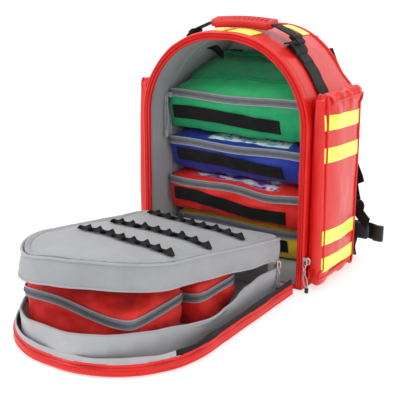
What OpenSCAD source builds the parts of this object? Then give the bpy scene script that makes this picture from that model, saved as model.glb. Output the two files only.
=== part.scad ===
// Trauma backpack lying open: an arched shell with side pockets, a stack of pouch modules inside,
// and a front panel that opens down to the floor with a covered tray on it.
// X is across the bag, +Y goes into the bag towards the wearer, Z is up from the floor.

/* [Body] */
// Width of the shell
body_w = 320; // [280:1:380]
// Height of the arch above the floor
body_h = 416; // [390:1:500]
// Depth of the shell, front opening to back panel
body_d = 200; // [185:1:250]
// Radius of the arch's two upper corners
arch_r = 150; // [110:1:155]
// Padded wall thickness
wall = 5; // [4:0.5:8]
// How far the front rim stands in from the outline
rim_in = 9; // [7:0.5:12]

/* [Side pockets] */
// Thickness of each side pocket
pocket_t = 27; // [20:1:50]
// Height of the pocket's top
pocket_top = 328; // [290:1:345]
// Depth of the pocket, front to back
pocket_d = 144; // [110:1:170]

/* [Front panel and tray] */
// Height of the front panel's wall
lid_wall = 28; // [24:0.5:34]
// Height of the tray's gusset above the floor
gusset_top = 56; // [48:1:60]
// Height of the tray with its cover closed
tray_h = 90; // [82:1:94]
// How far the cover is propped open by the pouches, in degrees
cover_prop = 9; // [4:0.5:11]

/* [Modules] */
// Height of a module
module_h = 72; // [60:1:74]
// Height of the tall module's back edge above its own base
tall_back = 142; // [110:1:150]
// Width of a module's webbing pull
pull_w = 25; // [20:1:30]

/* [Carry handle and harness] */
// Width of the main webbing
webbing_w = 40; // [30:1:50]
// Length of the moulded grip
grip_l = 118; // [100:1:130]
// Height of the grip's underside above the shell
grip_lift = 9; // [9:1:30]
// Width of a shoulder pad
pad_w = 60; // [50:1:70]
// Reach of a hip wing past its pivot
wing_l = 104; // [80:1:120]

/* [Hidden] */
$fn = 96;

half_w = body_w/2;
front_y = -body_d/2;
back_y = body_d/2;
rim_d = 12;
lining_t = 2;
gap = 0.3;                 // clearance between parts that slide or turn past each other
skin = 1;                  // thickness of tape, labels and reflective strips
inner = wall + lining_t;

// Front panel: turns a quarter circle about an axis low in its own near wall
hinge_z = 5.5;
hinge_y = front_y - lid_wall + hinge_z;
lid_skin = 3;
lid_sum = hinge_y + hinge_z;            // a height z on the closed panel lies at y = lid_sum - z when open

// Tray on the panel
tray_x = -6;
tray_half = half_w - 27;
tray_r = arch_r - 25;
tray_near = 11.5;                       // its near wall, as a height on the closed panel
tray_far = body_h - rim_in - 2.5;
sheet = 2.5;                            // thickness of the tray's fabric walls
cover_axis_y = lid_sum - tray_near;
cover_axis_z = tray_h - 3;
tape_r = 2.5;
cover_near = tray_near + tape_r + 1;
cover_crease = cover_near + 36;         // the cover's own fold, past the band sewn to its near edge
cover_t = 6;
loop_h = 3;

// Modules stand behind the closed tray
module_front = front_y + tray_h - lid_wall + 8;
module_back = back_y - wall - lining_t - 11;
module_d = module_back - module_front;
module_x = -9;
module_half = half_w - inner - 11;
module_left = module_x - module_half;
level_gap = 3;
yellow_z = 8;
red_z = yellow_z + module_h + level_gap - 3;
blue_z = red_z + module_h + level_gap;
green_z = blue_z + module_h + level_gap;

pocket_y = front_y + rim_d;
pocket_z = 5;
pocket_r = 12;

handle_y = -25;
anchor_x = 98;
tape_t = 2;                             // the strap over the arch
strap_foot = max(pocket_top - 24,        // its lower end: on the arch, or just above the pocket's top
    min(body_h - arch_r + sqrt(tape_t*(2*arch_r + tape_t)) + 1, pocket_top + gap));
anchor_a = asin((anchor_x - half_w + arch_r)/arch_r);   // its slope on the arch
grip_t = 16;
grip_d = 26;

chord = [95, 280];                      // across and down between a shoulder strap's two anchors
chord_l = norm(chord);
chord_a = atan2(chord[0], chord[1]);
strap_top = [60, back_y + 14, 380];
strap_bow = 22;
wing_pivot = [112, back_y + 12];
wing_z = 24;
wing_h = 50;

module outline(half, h, r, low, i = 0) {
    for (s = [-1, 1]) translate([s*(half - r), h - r]) circle(r - i);
    translate([-half + i, low]) square([2*(half - i), h - r - low]);
    if (half > r) translate([r - half, h - r - 1]) square([2*(half - r), r - i + 1]);
}
module body_outline(i = 0, low = 0) outline(half_w, body_h, arch_r, low, i);
module tray_outline(i = 0, low = tray_near) translate([tray_x, 0]) outline(tray_half, tray_far, tray_r, low, i);

// The children's 2D drawing, taken as X and Z, drawn out along Y
module along_y(a, b) translate([0, b, 0]) rotate([90, 0, 0]) linear_extrude(b - a) children();
// The children's 2D drawing, taken as Y and Z, drawn out along X
module along_x(a, b) translate([a, 0, 0]) rotate([90, 0, 90]) linear_extrude(b - a) children();
// The children's 2D drawing on the closed front panel, laid open on the floor
module laid_open(low, high) translate([0, lid_sum, low]) mirror([0, 1, 0]) linear_extrude(high - low) children();
module propped() translate([0, cover_axis_y, cover_axis_z]) rotate([-cover_prop, 0, 0])
    translate([0, -cover_axis_y, -cover_axis_z]) children();
module both_sides() { children(); mirror([1, 0, 0]) children(); }
module block(low, high) translate(low) cube(high - low);
module soft_block(low, high, r) translate([0, 0, low[2]]) linear_extrude(high[2] - low[2]) {
    translate([low[0] + r, low[1]]) square([high[0] - low[0] - 2*r, high[1] - low[1]]);
    translate([low[0], low[1] + r]) square([high[0] - low[0], high[1] - low[1] - 2*r]);
    for (x = [low[0] + r, high[0] - r], y = [low[1] + r, high[1] - r]) translate([x, y]) circle(r);
}

// Shell
module shell_band() color("red") along_y(front_y + rim_d, back_y - wall)
    difference() { body_outline(low = wall); body_outline(wall, wall - 1); }
module base_panel() color("darkred") block([-half_w, front_y, 0], [half_w, back_y - wall, wall]);
module back_panel() color("dimgray") along_y(back_y - wall, back_y) body_outline();
module inner_lining() color("silver") union() {
    along_y(front_y + rim_d, back_y - wall)
        difference() { body_outline(wall, wall); body_outline(inner, wall - 1); }
    along_y(back_y - wall - lining_t, back_y - wall) body_outline(wall + 1, wall);
}
module front_rim() color("red") along_y(front_y, front_y + rim_d)
    difference() { body_outline(low = wall); body_outline(rim_in, wall - 1); }
module body_zip() color("crimson") along_y(front_y + 3, front_y + 9)
    difference() { body_outline(-2, 40); body_outline(low = 39); }
module hinge_strip() color("red") block([-half_w + 20, hinge_y + 0.5, 0], [half_w - 20, front_y, 3]);

// Side pockets
module pocket() soft_block([half_w, pocket_y, pocket_z], [half_w + pocket_t, pocket_y + pocket_d, pocket_top], pocket_r);
module pocket_right() color("red") pocket();
module pocket_left() color("red") mirror([1, 0, 0]) pocket();
module pocket_zips() color("firebrick") both_sides()
    block([half_w + pocket_r, pocket_y - skin, 20], [half_w + pocket_t - pocket_r, pocket_y, pocket_top - 14]);
stripe_levels = [40, 83, 224, 278];
stripe_h = 28;
module pocket_reflectors() color("yellow") both_sides() for (z = stripe_levels)
    block([half_w + pocket_t, pocket_y + pocket_r, z], [half_w + pocket_t + skin, pocket_y + pocket_d - pocket_r, z + stripe_h]);

// Top of the shell, where the strips and the webbing follow the arch
module on_arch(t, from, to, low, y0, y1) intersection() {
    along_y(y0, y1) difference() { body_outline(-t); body_outline(); }
    block([from, y0 - 1, low], [to, y1 + 1, body_h + t + 1]);
}
module top_reflectors() color("yellow") union() {
    for (x = [-52, 4]) on_arch(skin, x, x + 44, body_h - 60, front_y + rim_d + 2, front_y + rim_d + 40);
    on_arch(skin, 30, 78, body_h - 60, back_y - 44, back_y - 14);
}
module at_anchor(up) translate([half_w - arch_r, handle_y, body_h - arch_r]) rotate([0, anchor_a, 0])
    translate([0, 0, arch_r + up]) children();
module top_webbing() color("black") union() {
    both_sides() on_arch(tape_t, anchor_x - 6, half_w + 3, strap_foot, handle_y - webbing_w/2, handle_y + webbing_w/2);
    both_sides() at_anchor(3) block([-11, -webbing_w/2 - 3, 0], [11, webbing_w/2 + 3, 6]);
}

// Back of the bag
module back_padding() color("gray") union() {
    soft_block([-26, back_y, 110], [26, back_y + 14, 380], 5);
    soft_block([8 - wing_pivot[0], back_y, 18], [wing_pivot[0] - 8, back_y + 16, 84], 5);
}
module strap_tabs() color("red") both_sides() union() {
    along_y(back_y, back_y + 4) polygon([[half_w - 44, 84], [half_w - 1, 78], [half_w - 1, 118]]);
    block([strap_top[0] - 16, back_y, 384], [strap_top[0] + 16, back_y + 4, 398]);
}
module inner_straps() color("black") both_sides()
    block([70, back_y - inner - 3, red_z], [70 + pull_w, back_y - inner, body_h - 48]);

// Modules
module cell(base, w = module_half) soft_block(
    [module_x - w, module_front, base], [module_x + w, module_back, base + module_h], 10);
module zip_band(base, up) block([module_left + 10, module_front - skin, base + up],
    [module_x + module_half - 10, module_front, base + up + 10]);
strap_drop = 29;                        // from a module's top down to its pull's upper edge
module pull_strap(base, from) block([from, module_front - 3, base + module_h - strap_drop - pull_w],
    [from + 218, module_front, base + module_h - strap_drop]);
module label(base) block([module_x - 92, module_front + 8, base + module_h],
    [module_x + 78, module_front + 60, base + module_h + skin]);

module module_yellow() color("gold") cell(yellow_z);
module yellow_trim() color("dimgray") union() {
    zip_band(yellow_z, module_h - 18);
    pull_strap(yellow_z, module_left + 14);
}
module module_red() color("red") cell(red_z);
module red_zip() color("gray") zip_band(red_z, module_h - 16);
module red_strap() color("black") pull_strap(red_z, module_left + 18);
module red_label() color("lavender") label(red_z);
module module_blue() color("blue") cell(blue_z);
module blue_zip() color("gray") zip_band(blue_z, module_h - 20);
module blue_strap() color("black") pull_strap(blue_z, module_left + 18);
module blue_label() color("lightblue") label(blue_z);
function green_top(along) = green_z + module_h + (tall_back - module_h)*(along - 8)/(module_d - 8);
module under_arch(clear) intersection() {
    children();
    along_y(front_y, back_y) body_outline(inner + clear, wall);
}
module module_green() color("green") under_arch(2) along_x(module_left, module_x + module_half) polygon([
    [module_front, green_z], [module_back, green_z], [module_back, green_z + tall_back],
    [module_front + 8, green_z + module_h], [module_front, green_z + module_h - 8]]);
module green_window() color([0.8, 0.9, 0.85, 0.4]) under_arch(6) along_x(module_left + 16, module_x + module_half - 16)
    polygon([for (p = [[12, 0], [module_d - 6, 0], [module_d - 6, skin], [12, skin]])
        [module_front + p[0], green_top(p[0]) + p[1]]]);
module green_zip() color("gray") zip_band(green_z, module_h - 18);
module green_strap() color("black") pull_strap(green_z, module_left + 12);
module green_pull() color("lightgray") union() {
    translate([module_left + 5, module_front - 5, green_z + 60]) rotate([0, 90, 0]) cylinder(r = 2.5, h = 4);
    block([module_left + 5.5, module_front - 6.5, green_z - 2], [module_left + 8.5, module_front - 3.5, green_z + 60]);
}

// Carry handle: a ladder-slotted grip on webbing between two anchors
end_x = half_w - arch_r + (arch_r + 17)*sin(anchor_a);
handle_axis_z = body_h - arch_r + (arch_r + 17)*cos(anchor_a);
grip_z = body_h + grip_lift;
module handle_grip() color("red") difference() {
    soft_block([-grip_l/2, handle_y - grip_d/2, grip_z], [grip_l/2, handle_y + grip_d/2, grip_z + grip_t], 6);
    block([-grip_l/2 - 1, handle_y - grip_d/2 + 7, grip_z + 5], [grip_l/2 + 1, handle_y + grip_d/2 - 7, grip_z + 9]);
    for (i = [-4:4]) block([i*11 - 2.5, handle_y - grip_d/2 + 3, grip_z + 9], [i*11 + 2.5, handle_y + grip_d/2 - 3, grip_z + 20]);
}
module handle_webbing() color("black") union() {
    block([-grip_l/2 + 0.5, handle_y - 5.5, grip_z + 5.5], [grip_l/2 - 0.5, handle_y + 5.5, grip_z + 8.5]);
    both_sides() along_y(handle_y - 10, handle_y + 10) polygon([
        [grip_l/2 + 0.5, grip_z + 5.5], [grip_l/2 + 0.5, grip_z + 8.5], [grip_l/2 + 14, grip_z + 6.5],
        [end_x, handle_axis_z + 3], [end_x, handle_axis_z], [grip_l/2 + 13, grip_z + 3.5]]);
    both_sides() translate([end_x - 7, handle_y, handle_axis_z]) rotate([0, 90, 0]) cylinder(r = 4, h = 12);
}

// Front panel, laid open on the floor
module lid_panel() color("red") laid_open(0, lid_skin) body_outline(low = hinge_z);
module lid_rim() color("red") laid_open(lid_skin, lid_wall - gap)
    difference() { body_outline(low = hinge_z); body_outline(wall, hinge_z + wall); }
module lid_zip() color("black") laid_open(14, lid_wall - 3)
    difference() { body_outline(wall, hinge_z + wall + 20); body_outline(wall + 2, hinge_z + wall + 19); }
module tray_wall() color("silver") union() {
    laid_open(lid_skin, gusset_top) difference() { tray_outline(); tray_outline(sheet, tray_near + sheet); }
    laid_open(gusset_top, tray_h - 7) intersection() {
        tray_outline(8);
        translate([tray_x - tray_half + 8, tray_near]) square([2*tray_half - 16, sheet]);
    }
}
module pouch_large() color("red") soft_block(
    [tray_x - 100, lid_sum - tray_far + 50, lid_skin], [tray_x + 70, lid_sum - tray_far + 182, 74], 24);
module pouch_small() color("red") soft_block(
    [tray_x + 6, lid_sum - tray_far + 188, lid_skin], [tray_x + 112, lid_sum - tray_far + 300, 70], 24);
module pouch_zips() color("gray") union() {
    block([tray_x - 74, lid_sum - tray_far + 50 - skin, 48], [tray_x + 44, lid_sum - tray_far + 50, 58]);
    block([tray_x + 112, lid_sum - tray_far + 210, 46], [tray_x + 112 + skin, lid_sum - tray_far + 274, 56]);
}

// Padded cover over the tray, hinged at its near edge and propped up
module cover_tape() color("silver") translate([tray_x - tray_half + 30, cover_axis_y, cover_axis_z])
    rotate([0, 90, 0]) cylinder(r = tape_r, h = 2*tray_half - 60);
module cover_band() color("gray") propped() union() {
    laid_open(tray_h - cover_t, tray_h) translate([tray_x - tray_half, cover_near])
        square([2*tray_half, cover_crease - gap - cover_near]);
    for (x = [-tray_half, tray_half - sheet]) laid_open(gusset_top + 6, tray_h - cover_t + 1)
        translate([tray_x + x, cover_near]) square([sheet, cover_crease - gap - cover_near]);
}
module cover_panel() color("silver") propped() laid_open(tray_h - cover_t, tray_h) tray_outline(low = cover_crease);
module cover_skirt() color("gray") propped() laid_open(gusset_top + 6, tray_h - cover_t)
    difference() { tray_outline(low = cover_crease); tray_outline(sheet, cover_crease - 1); }
module cover_piping() color("lightgray") propped() laid_open(gusset_top + 1, gusset_top + 6)
    difference() { tray_outline(-1.5, cover_crease); tray_outline(sheet, cover_crease - 1); }
module loop_row(away, from, count) propped() for (i = [0:count - 1])
    translate([tray_x + from + 25*i, lid_sum - cover_near - away, tray_h]) difference() {
        block([0, -9, 0], [23, 9, loop_h]);
        block([3, -10, -1], [20, 10, loop_h - 1]);
    }
module loops_back() color("black") loop_row(52, -112, 8);
module loops_middle() color("black") loop_row(150, -112, 8);
module loops_front() color("black") loop_row(246, -112, 8);
module cover_pull() color("lightgray") union() {
    translate([tray_x + tray_half + 3, cover_axis_y - 8, 47]) rotate([0, 90, 0]) cylinder(r = 3, h = 5);
    block([tray_x + tray_half + 4, cover_axis_y - 9.5, 8], [tray_x + tray_half + 7, cover_axis_y - 6.5, 47]);
}

// Sliders of the main zip, on the straight stretch of the rim, and their cord pulls
slider_z = 44;
module slider() block([half_w + 2 + gap, front_y + 1, slider_z], [half_w + 8, front_y + 10, slider_z + 16]);
module pull() union() {
    translate([half_w + 5, front_y - 0.5, slider_z + 1]) rotate([90, 0, 0]) cylinder(r = 3, h = 2);
    block([half_w + 3.5, front_y - 2.5, 4], [half_w + 6.5, front_y - 0.5, slider_z + 1]);
}
module slider_right() color("silver") slider();
module slider_left() color("silver") mirror([1, 0, 0]) slider();
module pull_right() color("gray") pull();
module pull_left() color("gray") mirror([1, 0, 0]) pull();

// Harness, each strap drawn upright along its own chord and then leaned to it
function bow(t) = 6 + strap_bow*sin(180*t);
module ribbon(from, to, t0, t1, thick, steps = 16) polygon(concat(
    [for (k = [0:steps]) let (t = t0 + (t1 - t0)*k/steps) [bow(t), from + (to - from)*k/steps]],
    [for (k = [steps:-1:0]) let (t = t0 + (t1 - t0)*k/steps) [bow(t) + thick, from + (to - from)*k/steps]]));
module leaned() translate([strap_top[0] + chord[0], strap_top[1], strap_top[2] - chord[1]])
    rotate([0, -chord_a, 0]) children();
module shoulder() leaned() union() {
    along_x(-pad_w/2, pad_w/2) ribbon(0.38*chord_l, chord_l, 0.38, 1, 12);
    translate([0, 0, chord_l - 18]) cylinder(r = 6, h = 18);
    block([-10, 0, chord_l - 14], [10, 7, chord_l - 2]);
}
module lower_web() leaned() union() {
    along_x(-12.5, 12.5) ribbon(0, 0.38*chord_l - 0.3, 0, 0.379, 4);
    cylinder(r = 6, h = 18);
    block([-6, 0, 2], [6, 8, 14]);
}
module shoulder_right() color("black") shoulder();
module shoulder_left() color("black") mirror([1, 0, 0]) shoulder();
module webbing_right() color("black") lower_web();
module webbing_left() color("black") mirror([1, 0, 0]) lower_web();
module wing() union() {
    translate([wing_pivot[0], wing_pivot[1], wing_z + 5]) cylinder(r = 6, h = wing_h - 10);
    soft_block([wing_pivot[0] + 5, wing_pivot[1] - 3, wing_z], [wing_pivot[0] + wing_l, wing_pivot[1] + 9, wing_z + wing_h], 4);
}
module hip_right() color("black") wing();
module hip_left() color("black") mirror([1, 0, 0]) wing();

shell_band();
base_panel();
back_panel();
inner_lining();
front_rim();
body_zip();
hinge_strip();
pocket_left();
pocket_right();
pocket_zips();
pocket_reflectors();
top_reflectors();
top_webbing();
back_padding();
inner_straps();
strap_tabs();
module_yellow();
yellow_trim();
module_red();
red_zip();
red_strap();
red_label();
module_blue();
blue_zip();
blue_strap();
blue_label();
module_green();
green_window();
green_zip();
green_strap();
green_pull();
handle_grip();
handle_webbing();
lid_panel();
lid_rim();
lid_zip();
tray_wall();
pouch_large();
pouch_small();
pouch_zips();
cover_tape();
cover_band();
cover_panel();
cover_skirt();
cover_piping();
loops_front();
loops_middle();
loops_back();
cover_pull();
slider_right();
pull_right();
slider_left();
pull_left();
shoulder_left();
webbing_left();
shoulder_right();
webbing_right();
hip_left();
hip_right();
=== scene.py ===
import math
import bmesh
import bpy
from mathutils import Matrix, Vector, noise
from mathutils.bvhtree import BVHTree
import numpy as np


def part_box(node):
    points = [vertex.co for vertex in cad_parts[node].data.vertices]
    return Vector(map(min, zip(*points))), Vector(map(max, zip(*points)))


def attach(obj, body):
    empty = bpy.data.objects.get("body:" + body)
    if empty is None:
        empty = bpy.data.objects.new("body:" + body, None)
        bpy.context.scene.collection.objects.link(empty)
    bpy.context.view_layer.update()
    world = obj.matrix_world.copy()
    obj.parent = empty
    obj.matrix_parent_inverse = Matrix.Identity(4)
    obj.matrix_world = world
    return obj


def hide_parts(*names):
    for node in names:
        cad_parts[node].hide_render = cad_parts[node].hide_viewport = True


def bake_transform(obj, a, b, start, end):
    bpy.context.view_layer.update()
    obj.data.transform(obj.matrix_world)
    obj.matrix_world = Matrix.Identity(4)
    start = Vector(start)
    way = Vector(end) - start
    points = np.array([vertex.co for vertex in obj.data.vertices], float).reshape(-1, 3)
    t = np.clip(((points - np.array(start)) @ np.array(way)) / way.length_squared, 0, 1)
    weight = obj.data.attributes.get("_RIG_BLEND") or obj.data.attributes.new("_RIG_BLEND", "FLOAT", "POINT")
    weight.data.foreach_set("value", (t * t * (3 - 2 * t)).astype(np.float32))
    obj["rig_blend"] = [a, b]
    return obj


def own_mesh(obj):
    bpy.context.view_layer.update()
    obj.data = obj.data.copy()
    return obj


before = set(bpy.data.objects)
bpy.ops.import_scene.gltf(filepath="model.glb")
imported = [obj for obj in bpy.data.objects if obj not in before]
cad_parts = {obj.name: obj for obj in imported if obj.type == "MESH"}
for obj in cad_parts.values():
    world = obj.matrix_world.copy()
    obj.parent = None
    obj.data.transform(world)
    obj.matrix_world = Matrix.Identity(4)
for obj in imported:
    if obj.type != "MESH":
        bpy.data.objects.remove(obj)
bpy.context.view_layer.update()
mm = 0.001                       # meshes are made in millimetres and shrunk when they become pieces


def span(node):
    low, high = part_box(node)
    return low / mm, high / mm


def clamp(value):
    return max(0.0, min(1.0, value))


def ease(value, low, high):
    t = clamp((value - low) / (high - low))
    return t * t * (3 - 2 * t)


shellHigh = span("shell_band")[1]
lidLow, lidHigh = span("lid_panel")
trayLow, trayHigh = span("tray_wall")
halfWidth = shellHigh.x
archTop = shellHigh.z
frontY = span("front_rim")[0].y
webWide = 25                     # the strap webbing
coilPitch = 2.6                  # from tooth to tooth of the main zip
backY = span("back_panel")[1].y
lidSum = lidHigh.y + 5.5         # a height z on the closed panel lies at y = lidSum - z when it is open
coverAxis = Vector((0, span("cover_tape")[1].y - 2.5, span("cover_tape")[1].z - 2.5))
prop = math.radians(9)
archShape = dict(half=halfWidth, top=archTop, radius=150, middle=0)
trayShape = dict(half=(trayHigh.x - trayLow.x) / 2, top=lidSum - trayLow.y, radius=125,
                 middle=(trayHigh.x + trayLow.x) / 2)

cameraSetup = dict(place=(0.7416, -1.3019, 0.5486), yaw=33.05, down=16.42, lens=77.03)
cameraData = bpy.data.cameras.new("camera")
cameraData.sensor_width = 36
cameraData.lens = cameraSetup["lens"]
cameraData.dof.use_dof = False
camera = bpy.data.objects.new("camera", cameraData)
camera.location = cameraSetup["place"]
camera.rotation_euler = (math.radians(90 - cameraSetup["down"]), 0, math.radians(cameraSetup["yaw"]))
bpy.context.scene.collection.objects.link(camera)
bpy.context.scene.camera = camera


class Value:
    # a shader socket that takes part in sums and products
    def __init__(self, coat, socket):
        self.coat = coat
        self.socket = socket

    def math(self, kind, *others):
        return self.coat.node("ShaderNodeMath", {"operation": kind}, [self, *others])

    def __add__(self, other):
        return self.math("ADD", other)

    def __mul__(self, other):
        return self.math("MULTIPLY", other)

    def __sub__(self, other):
        return self.math("SUBTRACT", other)

    def __rsub__(self, other):
        return self.coat.node("ShaderNodeMath", {"operation": "SUBTRACT"}, [other, self])

    __radd__ = __add__
    __rmul__ = __mul__

    def sine(self, pitch):
        return (self * (2 * math.pi / pitch)).math("SINE")

    def size(self):
        return self.math("ABSOLUTE")


class Coat:
    def __init__(self, name, **fixed):
        self.material = bpy.data.materials.new(name)
        self.material.use_nodes = True
        self.tree = self.material.node_tree
        self.shader = self.tree.nodes["Principled BSDF"]
        for socket, value in fixed.items():
            self.shader.inputs[socket.replace("_", " ")].default_value = value

    def node(self, kind, settings=None, inputs=(), output=0):
        made = self.tree.nodes.new(kind)
        for key, value in (settings or {}).items():
            if key == "stops":
                ramp = made.color_ramp
                while len(ramp.elements) < len(value):
                    ramp.elements.new(0.5)
                for element, (place, colour) in zip(ramp.elements, value):
                    element.position = place
                    element.color = (*colour, 1)
            else:
                setattr(made, key, value)
        for key, value in (inputs.items() if hasattr(inputs, "items") else enumerate(inputs)):
            self.feed(made.inputs[key], value)
        return Value(self, made.outputs[output])

    def feed(self, socket, value):
        if isinstance(value, Value):
            self.tree.links.new(value.socket, socket)
        elif value is not None:
            socket.default_value = value

    def place(self, kind="Object"):
        # object coordinates, or the piece's own map along and across it, in millimetres
        spot = self.node("ShaderNodeTexCoord", output=kind)
        return self.node("ShaderNodeVectorMath", {"operation": "SCALE"}, {0: spot, "Scale": 1000})

    def split(self, spot):
        parts = self.node("ShaderNodeSeparateXYZ", {}, [spot])
        outputs = parts.socket.node.outputs
        return [Value(self, outputs[k]) for k in range(3)]

    def cloud(self, spot, size, detail=2.0, rough=0.5):
        return self.node("ShaderNodeTexNoise", {}, {"Vector": spot, "Scale": 1 / size, "Detail": detail,
                                                    "Roughness": rough}, "Fac")

    def tint(self, factor, dark, light):
        return self.node("ShaderNodeValToRGB", {"stops": [(0.0, dark), (1.0, light)]}, {"Fac": factor}, "Color")

    def surface(self, colour=None, rough=None, height=None, depth=0.3, reach=0.0006, alpha=None):
        self.feed(self.shader.inputs["Base Color"], colour)
        self.feed(self.shader.inputs["Roughness"], rough)
        self.feed(self.shader.inputs["Alpha"], alpha)
        if height is not None:
            bump = self.node("ShaderNodeBump", {}, {"Height": height, "Strength": depth, "Distance": reach},
                             "Normal")
            self.feed(self.shader.inputs["Normal"], bump)
        return self.material


def shade(colour, amount):
    return tuple(clamp(part * amount) for part in colour)


def weave(x, y, z, pitch):
    return x.sine(pitch) * z.sine(pitch) + y.sine(pitch) * z.sine(pitch) + x.sine(pitch) * y.sine(pitch)


def makeTarpaulin(name, colour, rough=0.34, weight=0.35):
    coat = Coat(name, Coat_Weight=weight, Coat_Roughness=0.16, Specular_IOR_Level=0.3)
    spot = coat.place()
    x, y, z = coat.split(spot)
    scrim = weave(x, y, z, 1.5)
    broad = coat.cloud(spot, 60, 3)
    fine = coat.cloud(spot, 7, 4, 0.6)
    crease = (coat.cloud(spot, 26, 3, 0.55) - 0.5).size()
    tone = broad * 0.55 + fine * 0.3 + 0.08
    return coat.surface(coat.tint(tone, shade(colour, 0.78), shade(colour, 1.16)),
                        fine * 0.22 + (rough - 0.1),
                        broad * 1.6 + crease * 1.1 + fine * 0.35 + scrim * 0.03, 0.42, 0.0016)


def makeNylon(name, colour, rough=0.62, pitch=1.3, sheen=0.25, weight=0.0):
    coat = Coat(name, Sheen_Weight=sheen, Sheen_Roughness=0.45, Coat_Weight=weight, Coat_Roughness=0.3,
                Specular_IOR_Level=0.4)
    spot = coat.place()
    x, y, z = coat.split(spot)
    thread = weave(x, y, z, pitch)
    broad = coat.cloud(spot, 34, 3)
    fine = coat.cloud(spot, 2.2, 3)
    tone = broad * 0.6 + fine * 0.25 + thread * 0.06 + 0.08
    return coat.surface(coat.tint(tone, shade(colour, 0.72), shade(colour, 1.2)), broad * 0.2 + (rough - 0.1),
                        thread * 0.3 + fine * 0.5 + broad * 1.5, 0.4, 0.0008)


def makeWebbing(name, colour, rib=1.5, rough=0.6):
    coat = Coat(name, Sheen_Weight=0.06, Sheen_Roughness=0.4, Specular_IOR_Level=0.2)
    along, across, rest = coat.split(coat.place("UV"))
    spot = coat.place()
    ribs = (along + across.sine(5.2) * 0.5).sine(rib)
    cords = across.sine(1.9)
    wear = coat.cloud(spot, 14, 4, 0.6)
    tone = ribs * 0.16 + cords * 0.12 + wear * 0.5 + 0.25
    return coat.surface(coat.tint(tone, shade(colour, 0.5), shade(colour, 2.0)), wear * 0.25 + (rough - 0.12),
                        ribs * 0.5 + cords * 0.4, 0.55, 0.0007)


def makeMoulded(name, colour, rough=0.38):
    coat = Coat(name, Specular_IOR_Level=0.5)
    spot = coat.place()
    grain = coat.cloud(spot, 0.8, 3)
    wear = coat.cloud(spot, 18, 4, 0.6)
    return coat.surface(coat.tint(wear, shade(colour, 0.8), shade(colour, 1.15)), wear * 0.2 + (rough - 0.1),
                        grain, 0.18, 0.0003)


def makeMetal(name, colour, rough=0.28):
    coat = Coat(name, Metallic=1.0)
    spot = coat.place()
    scuff = coat.cloud(spot, 2.5, 5, 0.65)
    return coat.surface(coat.tint(scuff, shade(colour, 0.7), shade(colour, 1.1)), scuff * 0.25 + (rough - 0.1),
                        scuff, 0.15, 0.0003)


def makeTape(name, colour, paintedGlow):
    # fluorescent tape with a welded diamond grid; its colour is also emitted, a painted glow
    coat = Coat(name, Coat_Weight=0.35, Coat_Roughness=0.2, Emission_Strength=paintedGlow)
    spot = coat.place()
    x, y, z = coat.split(spot)
    grid = ((y + z + x).sine(5.0) * (y - z + x).sine(5.0)).size()
    patch = coat.cloud(spot, 30, 3)
    fine = coat.cloud(spot, 5, 3)
    tone = patch * 0.7 + grid * 0.16 + fine * 0.1
    paint = coat.tint(tone, shade(colour, 0.78), (min(1, colour[0] * 1.12), min(1, colour[1] * 1.1), 0.16))
    # painted glow: the tape's colour goes to emission as well as to its base colour
    coat.feed(coat.shader.inputs["Emission Color"], paint)
    return coat.surface(paint, fine * 0.2 + 0.22, grid * 0.4 + patch, 0.35, 0.0008)


def makeFilm(name, tintColour, opaque, rough=0.06):
    # clear flexible film: mostly see-through, cloudier where it is creased
    coat = Coat(name, Coat_Weight=0.35, Coat_Roughness=0.05, Specular_IOR_Level=0.4, IOR=1.45)
    spot = coat.place()
    haze = coat.cloud(spot, 24, 3, 0.6)
    ripple = coat.cloud(spot, 40, 2)
    return coat.surface(coat.tint(haze, shade(tintColour, 0.8), tintColour), haze * 0.1 + rough,
                        ripple * 3 + haze, 0.6, 0.003, haze * 0.16 + (opaque - 0.08))


def makeCard(name, ground, marks):
    # a printed card: soft blocks of colour and blank fields
    coat = Coat(name, Coat_Weight=1.0, Coat_Roughness=0.05)
    spot = coat.place()
    x, y, z = coat.split(spot)
    cloud = coat.cloud(spot, 16, 1)
    bands = (y + cloud * 14).sine(17)
    fields = x.sine(46)
    tone = bands * 0.3 + fields * 0.25 + cloud * 0.4 + 0.2
    stops = [(0.0, marks[0]), (0.35, marks[0]), (0.45, ground), (0.68, ground), (0.74, marks[1]), (1.0, marks[1])]
    paint = coat.node("ShaderNodeValToRGB", {"stops": stops}, {"Fac": tone}, "Color")
    return coat.surface(paint, cloud * 0.1 + 0.15, cloud, 0.3, 0.002)


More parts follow.
